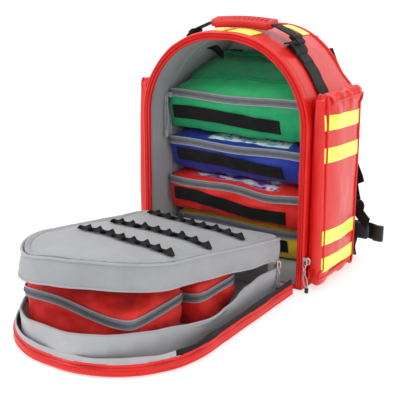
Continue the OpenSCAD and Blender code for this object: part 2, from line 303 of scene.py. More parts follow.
red = (0.70, 0.011, 0.007)
coats = dict(
    tarpaulin=makeTarpaulin("redTarpaulin", red),
    rimTape=makeTarpaulin("redRimTape", (0.70, 0.009, 0.006), 0.4, 0.2),
    base=makeTarpaulin("redBase", (0.42, 0.012, 0.008), 0.5, 0.15),
    redTeeth=makeMoulded("redTeeth", (0.52, 0.012, 0.008), 0.35),
    lining=makeNylon("grayLining", (0.42, 0.425, 0.445), 0.5, 1.1, 0.2, 0.12),
    coverCloth=makeNylon("grayCoverCloth", (0.33, 0.335, 0.35), 0.55, 1.1, 0.2),
    light=makeNylon("lightGrayTape", (0.36, 0.37, 0.39), 0.6, 0.9),
    coil=makeMoulded("grayCoil", (0.12, 0.13, 0.15), 0.45),
    zipTape=makeWebbing("grayZipTape", (0.17, 0.18, 0.195), 1.0),
    webbing=makeWebbing("blackWebbing", (0.0045, 0.0045, 0.005)),
    elastic=makeWebbing("blackElastic", (0.0035, 0.0035, 0.004), 1.1),
    mesh=makeNylon("blackMesh", (0.018, 0.018, 0.02), 0.8, 2.6, 0.4),
    pad=makeNylon("blackPad", (0.014, 0.014, 0.016), 0.75, 1.6, 0.4),
    reflective=makeTape("reflectiveTape", (0.72, 0.86, 0.012), 0.22),
    yellow=makeNylon("yellowNylon", (0.86, 0.55, 0.01)),
    redCloth=makeNylon("redNylon", (0.76, 0.014, 0.009), 0.55, 1.3, 0.05),
    blue=makeNylon("blueNylon", (0.003, 0.030, 0.33), 0.5, 1.3, 0.1),
    green=makeNylon("greenNylon", (0.006, 0.36, 0.125), 0.55, 1.3, 0.1),
    # a lighter copy of the green nylon: painted light on the lip's front slope
    greenLight=makeNylon("greenLipPaintedLight", (0.02, 0.46, 0.15), 0.55, 1.3, 0.1),
    film=makeFilm("clearFilm", (0.45, 0.7, 0.58), 0.05),
    blueCard=makeCard("blueCard", (0.55, 0.75, 0.82), ((0.75, 0.86, 0.9), (0.16, 0.42, 0.55))),
    redCard=makeCard("purpleCard", (0.55, 0.5, 0.6), ((0.16, 0.03, 0.3), (0.8, 0.8, 0.85))),
    grip=makeMoulded("mouldedGrip", (0.60, 0.012, 0.009), 0.45),
    zinc=makeMetal("zinc", (0.72, 0.71, 0.69)),
    cord=makeWebbing("grayCord", (0.30, 0.31, 0.33), 1.2),
    plastic=makeMoulded("blackPlastic", (0.007, 0.007, 0.008), 0.35),
)
print("materials ready:", len(coats))


def addPiece(name, bm, finish, body=None, nodes=(), bend=None, flatten=None, sharp=40, turn=True):
    # finish names the coats in the order of the mesh's material indices; the first gives the slot
    finish = [finish] if isinstance(finish, str) else finish
    if turn:
        bmesh.ops.recalc_face_normals(bm, faces=bm.faces)
    bmesh.ops.scale(bm, vec=(mm, mm, mm), verts=bm.verts)
    mesh = bpy.data.meshes.new(name)
    bm.to_mesh(mesh)
    bm.free()
    for coatName in finish:
        mesh.materials.append(coats[coatName])
    mesh.polygons.foreach_set("use_smooth", [True] * len(mesh.polygons))
    mesh.set_sharp_from_angle(angle=math.radians(sharp))
    piece = bpy.data.objects.new(name, mesh)
    bpy.context.scene.collection.objects.link(piece)
    if bend:
        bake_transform(piece, *bend)
    else:
        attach(piece, body)
        if flatten:
            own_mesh(piece)
    if nodes:
        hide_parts(*nodes)
    return piece


def flow(points, gap):
    # a smooth line through the points, in steps of about gap
    points = [Vector(p) for p in points]
    ends = [points[0] * 2 - points[1], *points, points[-1] * 2 - points[-2]]
    line = []
    for a, b, c, d in zip(ends, ends[1:], ends[2:], ends[3:]):
        steps = max(2, round((c - b).length / gap))
        for k in range(steps):
            t = k / steps
            line.append(0.5 * (2 * b + (c - a) * t + (2 * a - 5 * b + 4 * c - d) * t * t
                               + (3 * b - a - 3 * c + d) * t ** 3))
    return line + [points[-1]]


def rounded(x0, x1, y0, y1, radius, count, z=0.0):
    # points round a rectangle's four corners, count to each, from its lower left
    spots = []
    for cx, cy, start in ((x0 + radius, y0 + radius, 180), (x1 - radius, y0 + radius, 270),
                          (x1 - radius, y1 - radius, 0), (x0 + radius, y1 - radius, 90)):
        for k in range(count):
            turn = math.radians(start + 90 * k / (count - 1))
            spots.append(Vector((cx + radius * math.cos(turn), cy + radius * math.sin(turn), z)))
    return spots


def framesOn(line, out, loop=False):
    # at each point: X to the side, Y outwards, Z along the line
    made = []
    count = len(line)
    for k, spot in enumerate(line):
        before = line[k - 1] if k or loop else line[0]
        after = line[(k + 1) % count] if k < count - 1 or loop else line[-1]
        along = (after - before).normalized()
        up = Vector(out[k]) if isinstance(out, list) else Vector(out)
        side = up.cross(along).normalized()
        up = along.cross(side)
        made.append(Matrix((side, up, along)).transposed().to_4x4())
        made[-1].translation = spot
    return made


def archFrames(shape, low, inset, step, laid=False):
    # round the arch from the lower left to the lower right: X outwards, Y in depth, Z along
    half = shape["half"]
    radius = shape["radius"] - inset
    side = half - inset
    shoulder = shape["top"] - shape["radius"]
    flatHalf = half - shape["radius"]
    straight = shoulder - low
    quarter = radius * math.pi / 2
    total = 2 * straight + 2 * quarter + 2 * flatHalf
    count = max(8, round(total / step))
    made = []
    for k in range(count + 1):
        s = total * k / count
        if s <= straight:
            spot, turn = (-side, low + s), 0.0
        elif s <= straight + quarter:
            turn = (s - straight) / radius
            spot = (-flatHalf - radius * math.cos(turn), shoulder + radius * math.sin(turn))
        elif s <= straight + quarter + 2 * flatHalf:
            spot, turn = (-flatHalf + s - straight - quarter, shoulder + radius), math.pi / 2
        elif s <= total - straight:
            turn = math.pi / 2 + (s - straight - quarter - 2 * flatHalf) / radius
            spot = (flatHalf - radius * math.cos(turn), shoulder + radius * math.sin(turn))
        else:
            spot, turn = (side, low + total - s), math.pi
        x, z = spot[0] + shape["middle"], spot[1]
        nx, nz = -math.cos(turn), math.sin(turn)
        if laid:
            axes = Matrix(((nx, -nz, 0), (0, 0, 1), (nz, nx, 0))).transposed().to_4x4()
            axes.translation = (x, lidSum - z, 0)
        else:
            axes = Matrix(((nx, 0, nz), (0, 1, 0), (nz, 0, -nx))).transposed().to_4x4()
            axes.translation = (x, 0, z)
        made.append(axes)
    return made


propTurn = (Matrix.Translation(coverAxis) @ Matrix.Rotation(-prop, 4, "X") @ Matrix.Translation(-coverAxis))


def merge(bm, part):
    # adds the part to the mesh and lets it go
    mesh = bpy.data.meshes.new("part")
    part.to_mesh(mesh)
    part.free()
    bm.from_mesh(mesh)


def joined(parts):
    bm = bmesh.new()
    for part in parts:
        merge(bm, part)
    return bm


def mirror(*parts):
    for bm in parts:
        bmesh.ops.scale(bm, vec=(-1, 1, 1), verts=bm.verts)


def thicken(bm, faces, push):
    made = bmesh.ops.extrude_face_region(bm, geom=faces)["geom"]
    bmesh.ops.translate(bm, vec=push, verts=[g for g in made if isinstance(g, bmesh.types.BMVert)])


def tuckRear(bm):
    # above the side pockets the shell draws in towards its back
    for vert in bm.verts:
        deep = clamp((vert.co.y + 88) / 183)
        vert.co.x *= 1 - 0.10 * deep ** 1.5 * ease(vert.co.z, 306, 345)


def sweep(bm, frames, profile, closed=True, loop=False, coat=0):
    # draws the profile's line along the frames, with a map in metres along and across
    count = len(profile)
    if not bm.verts.layers.float.get("along"):
        bm.verts.layers.float.new("across")
        bm.verts.layers.float.new("along")
    acrossLayer = bm.verts.layers.float["across"]
    alongLayer = bm.verts.layers.float["along"]
    mapLayer = bm.loops.layers.uv.verify()
    ring = [bm.verts.new(frames[0] @ Vector((a, b, 0))) for a, b in profile]
    edges = [bm.edges.new((ring[k], ring[(k + 1) % count])) for k in range(count if closed else count - 1)]
    width = 0.0
    for k, vert in enumerate(ring):
        if k:
            width += (Vector(profile[k]) - Vector(profile[k - 1])).length
        vert[acrossLayer] = width
        vert[alongLayer] = 0.0
    whole = width + (Vector(profile[0]) - Vector(profile[-1])).length
    first, run = edges, 0.0
    pairs = list(zip(frames, frames[1:])) + ([(frames[-1], frames[0])] if loop else [])
    for before, after in pairs:
        made = bmesh.ops.extrude_edge_only(bm, edges=edges)["geom"]
        verts = [g for g in made if isinstance(g, bmesh.types.BMVert)]
        edges = [g for g in made if isinstance(g, bmesh.types.BMEdge)
                 and g.verts[0] in set(verts) and g.verts[1] in set(verts)]
        bmesh.ops.transform(bm, matrix=after @ before.inverted(), verts=verts)
        run += (after.translation - before.translation).length
        for vert in verts:
            vert[alongLayer] = run
        for face in (g for g in made if isinstance(g, bmesh.types.BMFace)):
            high = max(l.vert[acrossLayer] for l in face.loops)
            for l in face.loops:
                across = l.vert[acrossLayer]
                if closed and across < 0.001 and high > width * 0.99:
                    across = whole
                l[mapLayer].uv = (l.vert[alongLayer] * mm, across * mm)
            face.material_index = coat
    if loop:
        bmesh.ops.remove_doubles(bm, verts=list({v for e in first + edges for v in e.verts}), dist=0.02)
    elif closed:
        for end in (first, edges):
            for face in bmesh.ops.contextual_create(bm, geom=end)["faces"]:
                face.material_index = coat


def band(width, thick, parts=4, crown=0.0):
    # a strap's section: parts across, a little thicker in its middle
    top = [(width * (k / parts - 0.5), thick / 2 + crown * math.sin(math.pi * k / parts)) for k in range(parts + 1)]
    return top + [(a, -thick / 2) for a, b in reversed(top)]


def ringProfile(radius, sides=8, a=0.0, b=0.0):
    return [(a + radius * math.cos(2 * math.pi * k / sides), b + radius * math.sin(2 * math.pi * k / sides))
            for k in range(sides)]


def studs(bm, frames, size, offset=(0, 0, 0), coat=0):
    # a small block at each frame: stitches, zip teeth
    for place in frames:
        made = bmesh.ops.create_cube(bm, size=1, matrix=place @ Matrix.Translation(offset)
                                     @ Matrix.Diagonal((*size, 1)))
        for face in {f for v in made["verts"] for f in v.link_faces}:
            face.material_index = coat


def stitch(bm, frames, lane, lift, pitch=5, length=3.2):
    # two sewn lines beside a strap's edges
    for side in (-lane, lane):
        studs(bm, everyStep(frames, pitch), (0.7, 0.5, length), (side, lift, 0), 1)


def everyStep(frames, pitch):
    # frames at equal steps along a swept line
    picked, due, run = [], 0.0, 0.0
    for before, after in zip(frames, frames[1:]):
        length = (after.translation - before.translation).length
        while due <= run + length and length > 0:
            t = (due - run) / length
            step = before.copy()
            step.translation = before.translation.lerp(after.translation, t)
            picked.append(step)
            due += pitch
        run += length
    return picked


def dice(bm, step, axes="xyz"):
    # cuts the mesh into cells about a step across
    for k, axis in enumerate("xyz"):
        if axis not in axes:
            continue
        low = min(v.co[k] for v in bm.verts)
        high = max(v.co[k] for v in bm.verts)
        count = max(1, round((high - low) / step))
        for cut in range(1, count):
            normal = [0, 0, 0]
            normal[k] = 1
            place = [0, 0, 0]
            place[k] = low + (high - low) * cut / count
            bmesh.ops.bisect_plane(bm, geom=bm.verts[:] + bm.edges[:] + bm.faces[:], plane_co=place,
                                   plane_no=normal, dist=0.001)


def softBlock(low, high, radius, segments=3, axes="xyz"):
    bm = bmesh.new()
    low, high = Vector(low), Vector(high)
    bmesh.ops.create_cube(bm, size=1)
    bmesh.ops.scale(bm, vec=high - low, verts=bm.verts)
    bmesh.ops.translate(bm, vec=(low + high) / 2, verts=bm.verts)
    bmesh.ops.bevel(bm, geom=bm.edges[:], offset=radius, offset_type="OFFSET", segments=segments, profile=0.5,
                    affect="EDGES", material=-1)
    return bm


def archBlock(shape, low, inset, deep, laid=False, step=8):
    # the arch as a slab between two depths
    bm = bmesh.new()
    frames = archFrames(shape, low, inset, step, laid)
    ring = [bm.verts.new(f @ Vector((0, deep[0], 0))) for f in frames]
    for a, b in zip(ring, ring[1:] + ring[:1]):
        bm.edges.new((a, b))
    face = bmesh.ops.contextual_create(bm, geom=bm.edges[:])["faces"]
    push = (frames[0] @ Vector((0, deep[1], 0))) - (frames[0] @ Vector((0, deep[0], 0)))
    thicken(bm, face, push)
    return bm


def rumple(bm, height, size, seed=0.0, stretch=(1, 1, 1), where=None):
    # soft creases: moves each point along its normal
    bm.normal_update()
    moves = []
    for vert in bm.verts:
        spot = Vector([c * s for c, s in zip(vert.co, stretch)]) / size
        amount = noise.noise(spot + Vector((seed, seed * 1.7, -seed))) * height
        if where:
            amount *= where(vert.co)
        moves.append((vert, vert.normal * amount))
    for vert, move in moves:
        vert.co += move


def treeOf(bm):
    bm.faces.ensure_lookup_table()
    return BVHTree.FromBMesh(bm)


def pressOn(bm, tree, towards, lift=0.0):
    # lays a flat strip on a surface: its own depth along towards is kept as its thickness
    towards = Vector(towards)
    for vert in bm.verts:
        depth = vert.co.dot(towards)
        start = vert.co - towards * (depth + 400)
        hit = tree.ray_cast(start, towards)[0]
        if hit is not None:
            vert.co += towards * (hit.dot(towards) - lift)
        else:
            near = tree.find_nearest(vert.co - towards * depth)
            vert.co += towards * (near[0].dot(towards) - lift) if near[0] is not None else towards * 0


def inflate(bm, voxel, pressure, cap, pinned, frames, stiff=8.0):
    # swells a closed shape as a stuffed piece, by cloth simulation, and gives it back as a mesh to work on
    scene = bpy.context.scene
    bmesh.ops.scale(bm, vec=(mm, mm, mm), verts=bm.verts)
    bmesh.ops.recalc_face_normals(bm, faces=bm.faces)
    mesh = bpy.data.meshes.new("swell")
    bm.to_mesh(mesh)
    bm.free()
    body = bpy.data.objects.new("swell", mesh)
    scene.collection.objects.link(body)
    grid = body.modifiers.new("grid", "REMESH")
    grid.mode = "VOXEL"
    grid.voxel_size = voxel * mm
    even = bpy.data.meshes.new_from_object(body.evaluated_get(bpy.context.evaluated_depsgraph_get()))
    body.modifiers.clear()
    body.data = even
    rest = [v.co.copy() for v in even.vertices]
    group = body.vertex_groups.new(name="held")
    held = [v.index for v in even.vertices if pinned(v.co / mm)]
    group.add(held or [0], 1.0 if held else 0.0, "REPLACE")
    cloth = body.modifiers.new("cloth", "CLOTH")
    settings = cloth.settings
    settings.quality = 5
    settings.mass = 0.3
    settings.tension_stiffness = stiff
    settings.compression_stiffness = stiff
    settings.shear_stiffness = stiff / 2
    settings.bending_stiffness = 0.4
    settings.use_pressure = True
    settings.uniform_pressure_force = pressure
    settings.vertex_group_mass = "held" if held else ""
    settings.effector_weights.gravity = 0
    cloth.collision_settings.use_collision = False
    cloth.collision_settings.use_self_collision = False
    cloth.point_cache.frame_end = frames
    for k in range(1, frames + 1):
        scene.frame_set(k)
    swollen = body.evaluated_get(bpy.context.evaluated_depsgraph_get()).data
    for vert, start, end in zip(even.vertices, rest, swollen.vertices):
        move = end.co - start
        if move.length > cap * mm:
            move *= cap * mm / move.length
        vert.co = start + move
    body.modifiers.clear()
    scene.frame_set(1)
    out = bmesh.new()
    out.from_mesh(body.data)
    bpy.data.objects.remove(body)
    bmesh.ops.scale(out, vec=(1 / mm,) * 3, verts=out.verts)
    relax(out)
    return out


def relax(bm):
    bmesh.ops.smooth_vert(bm, verts=bm.verts, factor=0.5, use_axis_x=True, use_axis_y=True, use_axis_z=True)


def refine(bm):
    bmesh.ops.subdivide_edges(bm, edges=bm.edges[:], cuts=1, use_grid_fill=True, smooth=0.0)
    relax(bm)


shell = dict(front=-88, back=95, wall=5, bulge=2.4, rumple=1.5, welt=3.0)


def shellSection(front, back, wall, bulge, parts=14):
    outer = [(bulge * math.sin(math.pi * k / parts), front + (back - front) * k / parts) for k in range(parts + 1)]
    inner = [(-wall, front + (back - front) * k / parts) for k in range(parts, -1, -3)]
    return outer + inner


def buildShell():
    bm = bmesh.new()
    frames = archFrames(archShape, 5, 0, 9)
    sweep(bm, frames, shellSection(shell["front"], shell["back"], shell["wall"], shell["bulge"]))
    away = lambda co: 1.0 if abs(co.x) < halfWidth - 2 or co.z > 320 else 0.35
    rumple(bm, shell["rumple"], 46, 3.0, (1, 0.5, 1), away)
    rumple(bm, 0.6, 15, 9.0, (1, 0.4, 1), away)
    for y in (shell["front"] + 7, shell["back"] - 5):                # sewn lines beside the seams
        studs(bm, archFrames(archShape, 8, 0, 5.2)[1:-1], (0.5, 0.7, 3.4), (0.9, y, 0), 1)
    tuckRear(bm)
    addPiece("shellSkin", bm, ["tarpaulin", "redTeeth"], "pack", ["shell_band"])

    bm = bmesh.new()
    sweep(bm, archFrames(archShape, 3, 0, 7), ringProfile(shell["welt"], 10, 0.2, backY - 3.4))
    tuckRear(bm)
    addPiece("rearWelt", bm, "rimTape", "pack")


def buildRim():
    # piping, a flat tape with the coil of the main zip, and an inner welt
    section = [(-1, -88), (1.6, -90), (2.6, -94), (1.8, -97.6), (-0.6, -98.8), (-2.2, -97.2), (-3.0, -97.0),
               (-3.8, -98.4), (-5.2, -99.2), (-6.4, -98.4), (-7.0, -97.2), (-8.0, -97.6), (-9.4, -99.4),
               (-11.2, -98.8), (-12.2, -96.4), (-11.4, -93.6), (-9.4, -92.4), (-6, -90)]
    bm = bmesh.new()
    frames = archFrames(archShape, 5, 0, 6)
    sweep(bm, frames, section)
    rumple(bm, 1.1, 34, 21.0)
    fine = archFrames(archShape, 30, 0, coilPitch)
    studs(bm, fine, (2.4, 1.2, 1.5), (-5.1, frontY + 0.6, 0), 1)
    addPiece("frontRim", bm, ["rimTape", "redTeeth"], "pack", ["front_rim"])

    bm = bmesh.new()
    sweep(bm, archFrames(archShape, 40, -1.0, 7), [(-1.4, -98), (0.5, -97.4), (0.9, -95), (0.5, -92), (-1.4, -91)])
    studs(bm, archFrames(archShape, 41, -1.0, coilPitch), (0.9, 3.4, 1.5), (0.7, -94.2, 0), 1)
    addPiece("mainZip", bm, ["rimTape", "redTeeth"], "pack", ["body_zip"])


def buildLining():
    bm = bmesh.new()
    frames = archFrames(archShape, 5, 0, 9)
    deep = [-92 + k * (185 / 14) for k in range(15)]
    section = [(-5.2, y) for y in deep]
    section += [(-7.2 - 1.2 * math.sin(math.pi * k / 14), deep[14 - k]) for k in range(15)]
    sweep(bm, frames, section)
    rumple(bm, 3.2, 52, 5.0, (1, 1, 0.6), lambda co: 1.0 if co.z > 20 else 0.0)
    rumple(bm, 0.9, 17, 8.0)
    tuckRear(bm)
    addPiece("wallLining", bm, "lining", "pack", ["inner_lining"])

    bm = archBlock(archShape, 5.2, 6.2, (backY - 8.5, backY - 5.2))
    dice(bm, 14, "xz")
    rumple(bm, 2.4, 44, 12.0, (1, 1, 1), lambda co: 1.0 if co.y < backY - 7 else 0.0)
    tuckRear(bm)
    addPiece("backLining", bm, "lining", "pack")

    bm = softBlock((-halfWidth + 6, frontY + 9, 4.6), (halfWidth - 6, backY - 6, 7.0), 1.0, 2)
    dice(bm, 16, "xy")
    rumple(bm, 0.8, 40, 14.0)
    addPiece("floorLining", bm, "lining", "pack")

    # light binding round the lining, and the seam halfway in
    bm = bmesh.new()
    sweep(bm, archFrames(archShape, 9, 8.6, 7), band(1.8, 6, 2))
    bmesh.ops.translate(bm, vec=(0, -88, 0), verts=bm.verts)
    addPiece("liningBinding", bm, "light", "pack")
    bm = bmesh.new()
    sweep(bm, archFrames(archShape, 12, 9.3, 7), ringProfile(1.1, 6, 0, -28))
    tuckRear(bm)
    addPiece("liningSeam", bm, "light", "pack")


def buildBase():
    bm = softBlock((-halfWidth, frontY + 1, 0), (halfWidth, backY - 4.4, 5), 2.2, 3)
    dice(bm, 18, "xy")
    rumple(bm, 0.5, 30, 2.0, (1, 1, 1), lambda co: 1.0 if co.z > 1 else 0.0)
    addPiece("basePanel", bm, "base", "pack", ["base_panel"])
    bm = bmesh.new()
    for side in (-1, 1):
        line = flow([(side * (halfWidth + 0.6), frontY + 8, 4.4), (side * (halfWidth + 1.0), 0, 4.0),
                     (side * (halfWidth + 0.6), backY - 8, 4.4)], 10)
        sweep(bm, framesOn(line, (side, 0, 0)), ringProfile(2.6, 8))
    addPiece("baseWelts", bm, "rimTape", "pack")


def buildBack():
    bm = archBlock(archShape, 0.5, 1.2, (backY - 4.6, backY))
    dice(bm, 12, "xz")
    for vert in bm.verts:                                    # quilted: crowned between its sewn lines
        if vert.co.y > backY - 1:
            crown = abs(math.sin(math.pi * vert.co.x / 52)) * abs(math.sin(math.pi * vert.co.z / 84))
            vert.co.y -= 1.8 * (1 - crown)
    tuckRear(bm)
    addPiece("backBoard", bm, "mesh", "pack", ["back_panel"])

    # spine pad and lumbar pad
    high = span("back_padding")[1]
    pads = bmesh.new()
    for start, end, hollow in (((-26, backY + 0.4, 110), (26, backY + 11, 380), 0.0),
                               ((-104, backY + 0.4, 18), (104, backY + 12.5, 84), 3.0)):
        bm = softBlock(start, end, 4.5, 3)
        held = lambda co: co.y < backY + 2.4
        bm = inflate(bm, 4.5, 4.0, 6, held, 14)
        for vert in bm.verts:
            if vert.co.y > backY + 3:
                wave = abs(math.sin(math.pi * (vert.co.z - start[2]) / (66 if hollow else 45)))
                vert.co.y -= 2.4 * (1 - wave) ** 2
                vert.co.y = min(vert.co.y, high.y + 2.0)
        merge(pads, bm)
    addPiece("backPads", pads, "mesh", "pack", ["back_padding"])


pocketLow, pocketHigh = span("pocket_right")
pocketHigh.y += 12
pocket = dict(voxel=5.5, pressure=5.0, cap=7, welt=2.1, stripes=(31, 78, 217, 270), tall=25, slant=9)


def pocketEdge(x, inset, low, high, round_):
    # a rounded rectangle in Y and Z at one x, as a closed line
    y0, y1 = pocketLow.y + inset, pocketHigh.y - inset
    points = []
    for cy, cz, start in ((y0 + round_, low + round_, 180), (y0 + round_, high - round_, 90),
                          (y1 - round_, high - round_, 0), (y1 - round_, low + round_, -90)):
        for k in range(7):
            turn = math.radians(start - 15 * k)
            points.append(Vector((x, cy + round_ * math.cos(turn), cz + round_ * math.sin(turn))))
    line = []
    for a, b in zip(points, points[1:] + points[:1]):
        steps = max(1, round((b - a).length / 8))
        line += [a.lerp(b, k / steps) for k in range(steps)]
    return line


def buildPockets():
    x0, x1 = halfWidth + 0.6, pocketHigh.x
    bm = softBlock((x0, pocketLow.y + 3, pocketLow.z + 2), (x1 - 3.5, pocketHigh.y - 3, pocketHigh.z - 3), 6, 3)

    def edgeHeld(co):
        # the side against the shell, and a border round the outer face
        border = (abs(co.z - pocketHigh.z) < 7 or co.z < pocketLow.z + 7
                  or co.y < pocketLow.y + 7 or co.y > pocketHigh.y - 7)
        return co.x < x0 + 4 or (co.x > x1 - 9 and border)

    bm = inflate(bm, pocket["voxel"], pocket["pressure"], pocket["cap"], edgeHeld, 16, 6.0)
    refine(bm)

    def gathered(co):
        top = max(0.0, (co.z - (pocketHigh.z - 52)) / 52)
        foot = max(0.0, (40 - co.z) / 40)
        return 0.35 + 2.2 * top + 1.2 * foot

    rumple(bm, 2.6, 24, 31.0, (1, 1, 0.45), gathered)
    rumple(bm, 4.6, 62, 35.0, (1, 1, 0.25), lambda co: 1.0 if co.x > halfWidth + 8 else 0.0)
    rumple(bm, 1.0, 9, 33.0, (1, 1, 0.6), lambda co: gathered(co) - 0.35)
    for vert in bm.verts:
        vert.co.x = max(halfWidth + 0.3, min(vert.co.x, x1 + 4.5))
        vert.co.y = max(pocketLow.y - 5, vert.co.y)
        vert.co.z = max(1.0, vert.co.z)
    surface = treeOf(bm)

    trims = bmesh.new()
    for x, inset, radius in ((x1 - 1.6, 1.2, pocket["welt"]), (halfWidth + 5.5, 0.8, 2.3)):
        line = pocketEdge(x, inset, pocketLow.z + 1.5, pocketHigh.z - 1.5, 14)
        line = [surface.find_nearest(spot)[0].lerp(spot, 0.45) for spot in line]
        sweep(trims, framesOn(line, (1, 0, 0), True), ringProfile(radius, 8), loop=True)
    line = pocketEdge(halfWidth + 14, 0, pocketLow.z + 3, pocketHigh.z - 2, 16)
    line = [surface.find_nearest(spot)[0].lerp(spot, 0.25) for spot in line]
    centre = Vector((halfWidth + 13, (pocketLow.y + pocketHigh.y) / 2, 165))
    outward = []
    for k, spot in enumerate(line):
        after = line[(k + 1) % len(line)] - line[k - 1]
        outward.append(Vector((1, 0, 0)).cross(after).normalized())
    if (outward[3].dot(line[3] - centre)) < 0:
        outward = [-way for way in outward]
    ringFrames = framesOn(line, outward, True)
    sweep(trims, ringFrames, band(9, 1.4, 4), loop=True, coat=0)
    studs(trims, everyStep(ringFrames + ringFrames[:1], coilPitch), (3.6, 1.2, 1.5), (0, 0.9, 0), 1)

    stripes = bmesh.new()
    for z in pocket["stripes"]:
        part = softBlock((0, pocketLow.y + 10, z), (1.2, pocketHigh.y - 3, z + pocket["tall"]), 0.4, 1)
        dice(part, 6, "yz")
        for vert in part.verts:
            vert.co.z -= pocket["slant"] * (vert.co.y - pocketLow.y) / (pocketHigh.y - pocketLow.y)
        pressOn(part, surface, (-1, 0, 0), -0.5)
        merge(stripes, part)
    for vert in stripes.verts:
        vert.co.x = max(vert.co.x, halfWidth + 2)

    for side, word in ((1, "Right"), (-1, "Left")):
        for source, kind, finish, node in ((bm, "pocket", "tarpaulin", "pocket_" + word.lower()),
                                           (trims, "pocketTrim", ["rimTape", "redTeeth"], "pocket_zips"),
                                           (stripes, "pocketStripes", "reflective", "pocket_reflectors")):
            copied = source.copy()
            if side < 0:
                mirror(copied)
            addPiece(kind + word, copied, finish, "pack", [node], sharp=50)


topWeb = dict(y=-25, wide=40, anchor=98)
anchorTurn = math.asin((topWeb["anchor"] - halfWidth + archShape["radius"]) / archShape["radius"])


def archSpot(turn, lift, y):
    # a point over the upper corner, turn measured from the crown
    shoulder = archTop - archShape["radius"]
    across = halfWidth - archShape["radius"]
    reach = archShape["radius"] + lift
    return Vector((across + reach * math.sin(turn), y, shoulder + reach * math.cos(turn)))


def buildTop():
    stripes = bmesh.new()
    for start, end, y0, y1 in ((-52, -8, -86, -48), (4, 48, -86, -48), (30, 78, 56, 86)):
        bm = softBlock((start, y0, archTop + 6), (end, y1, archTop + 7.2), 0.4, 1)
        dice(bm, 5, "xy")
        for vert in bm.verts:
            lift = vert.co.z - archTop - 6
            flatX = halfWidth - archShape["radius"]
            over = max(0.0, abs(vert.co.x) - flatX)
            turn = over / archShape["radius"]
            bulge = shell["bulge"] * math.sin(math.pi * (vert.co.y + 88) / 183) + 0.9
            spot = archSpot(turn, lift + bulge, vert.co.y)
            vert.co.z = spot.z
            if over:
                vert.co.x = math.copysign(spot.x, vert.co.x)
        merge(stripes, bm)
    tuckRear(stripes)
    addPiece("topStripes", stripes, "reflective", "pack", ["top_reflectors"])

    bm = bmesh.new()
    y, wide = topWeb["y"], topWeb["wide"]
    for side in (1, -1):
        line = [archSpot(anchorTurn - 0.05 + 0.06 * k, 3.6 + 0.5 * math.sin(2.1 * k), y) for k in range(13)]
        line += [Vector((halfWidth + 4.0, y, z)) for z in (312, 306)]
        out = [spot - Vector((halfWidth - archShape["radius"], y, archTop - archShape["radius"])) for spot in line]
        frames = framesOn(line, out)
        for item in frames:
            item[1][3] = y + 1.5 * math.sin(item[2][3] / 19)
        sweep(bm, frames, band(wide, 1.8, 6))
        stitch(bm, frames, 16.5, 1.1)
        # the folded keeper that the grip's webbing is sewn to
        turn = anchorTurn
        keeper = [archSpot(turn - 0.085, 4.2, y), archSpot(turn - 0.07, 8.5, y), archSpot(turn, 10.6, y),
                  archSpot(turn + 0.07, 8.8, y), archSpot(turn + 0.10, 4.6, y)]
        line = flow(keeper, 3)
        centre = archSpot(turn, 0, y)
        sweep(bm, framesOn(line, [spot - centre for spot in line]), band(wide + 6, 1.8, 6))
        box = [archSpot(turn + 0.11 + 0.035 * k, 4.9, y) for k in range(4)]
        sweep(bm, framesOn(box, [spot - centre for spot in box]), band(wide - 4, 1.4, 4))
        if side > 0:
            mirror(bm)
    tuckRear(bm)
    addPiece("topWebbing", bm, ["webbing", "plastic"], "pack", ["top_webbing"])


gripShape = dict(length=114, deep=27, rungs=11, crown=3.5, lean=0.2)


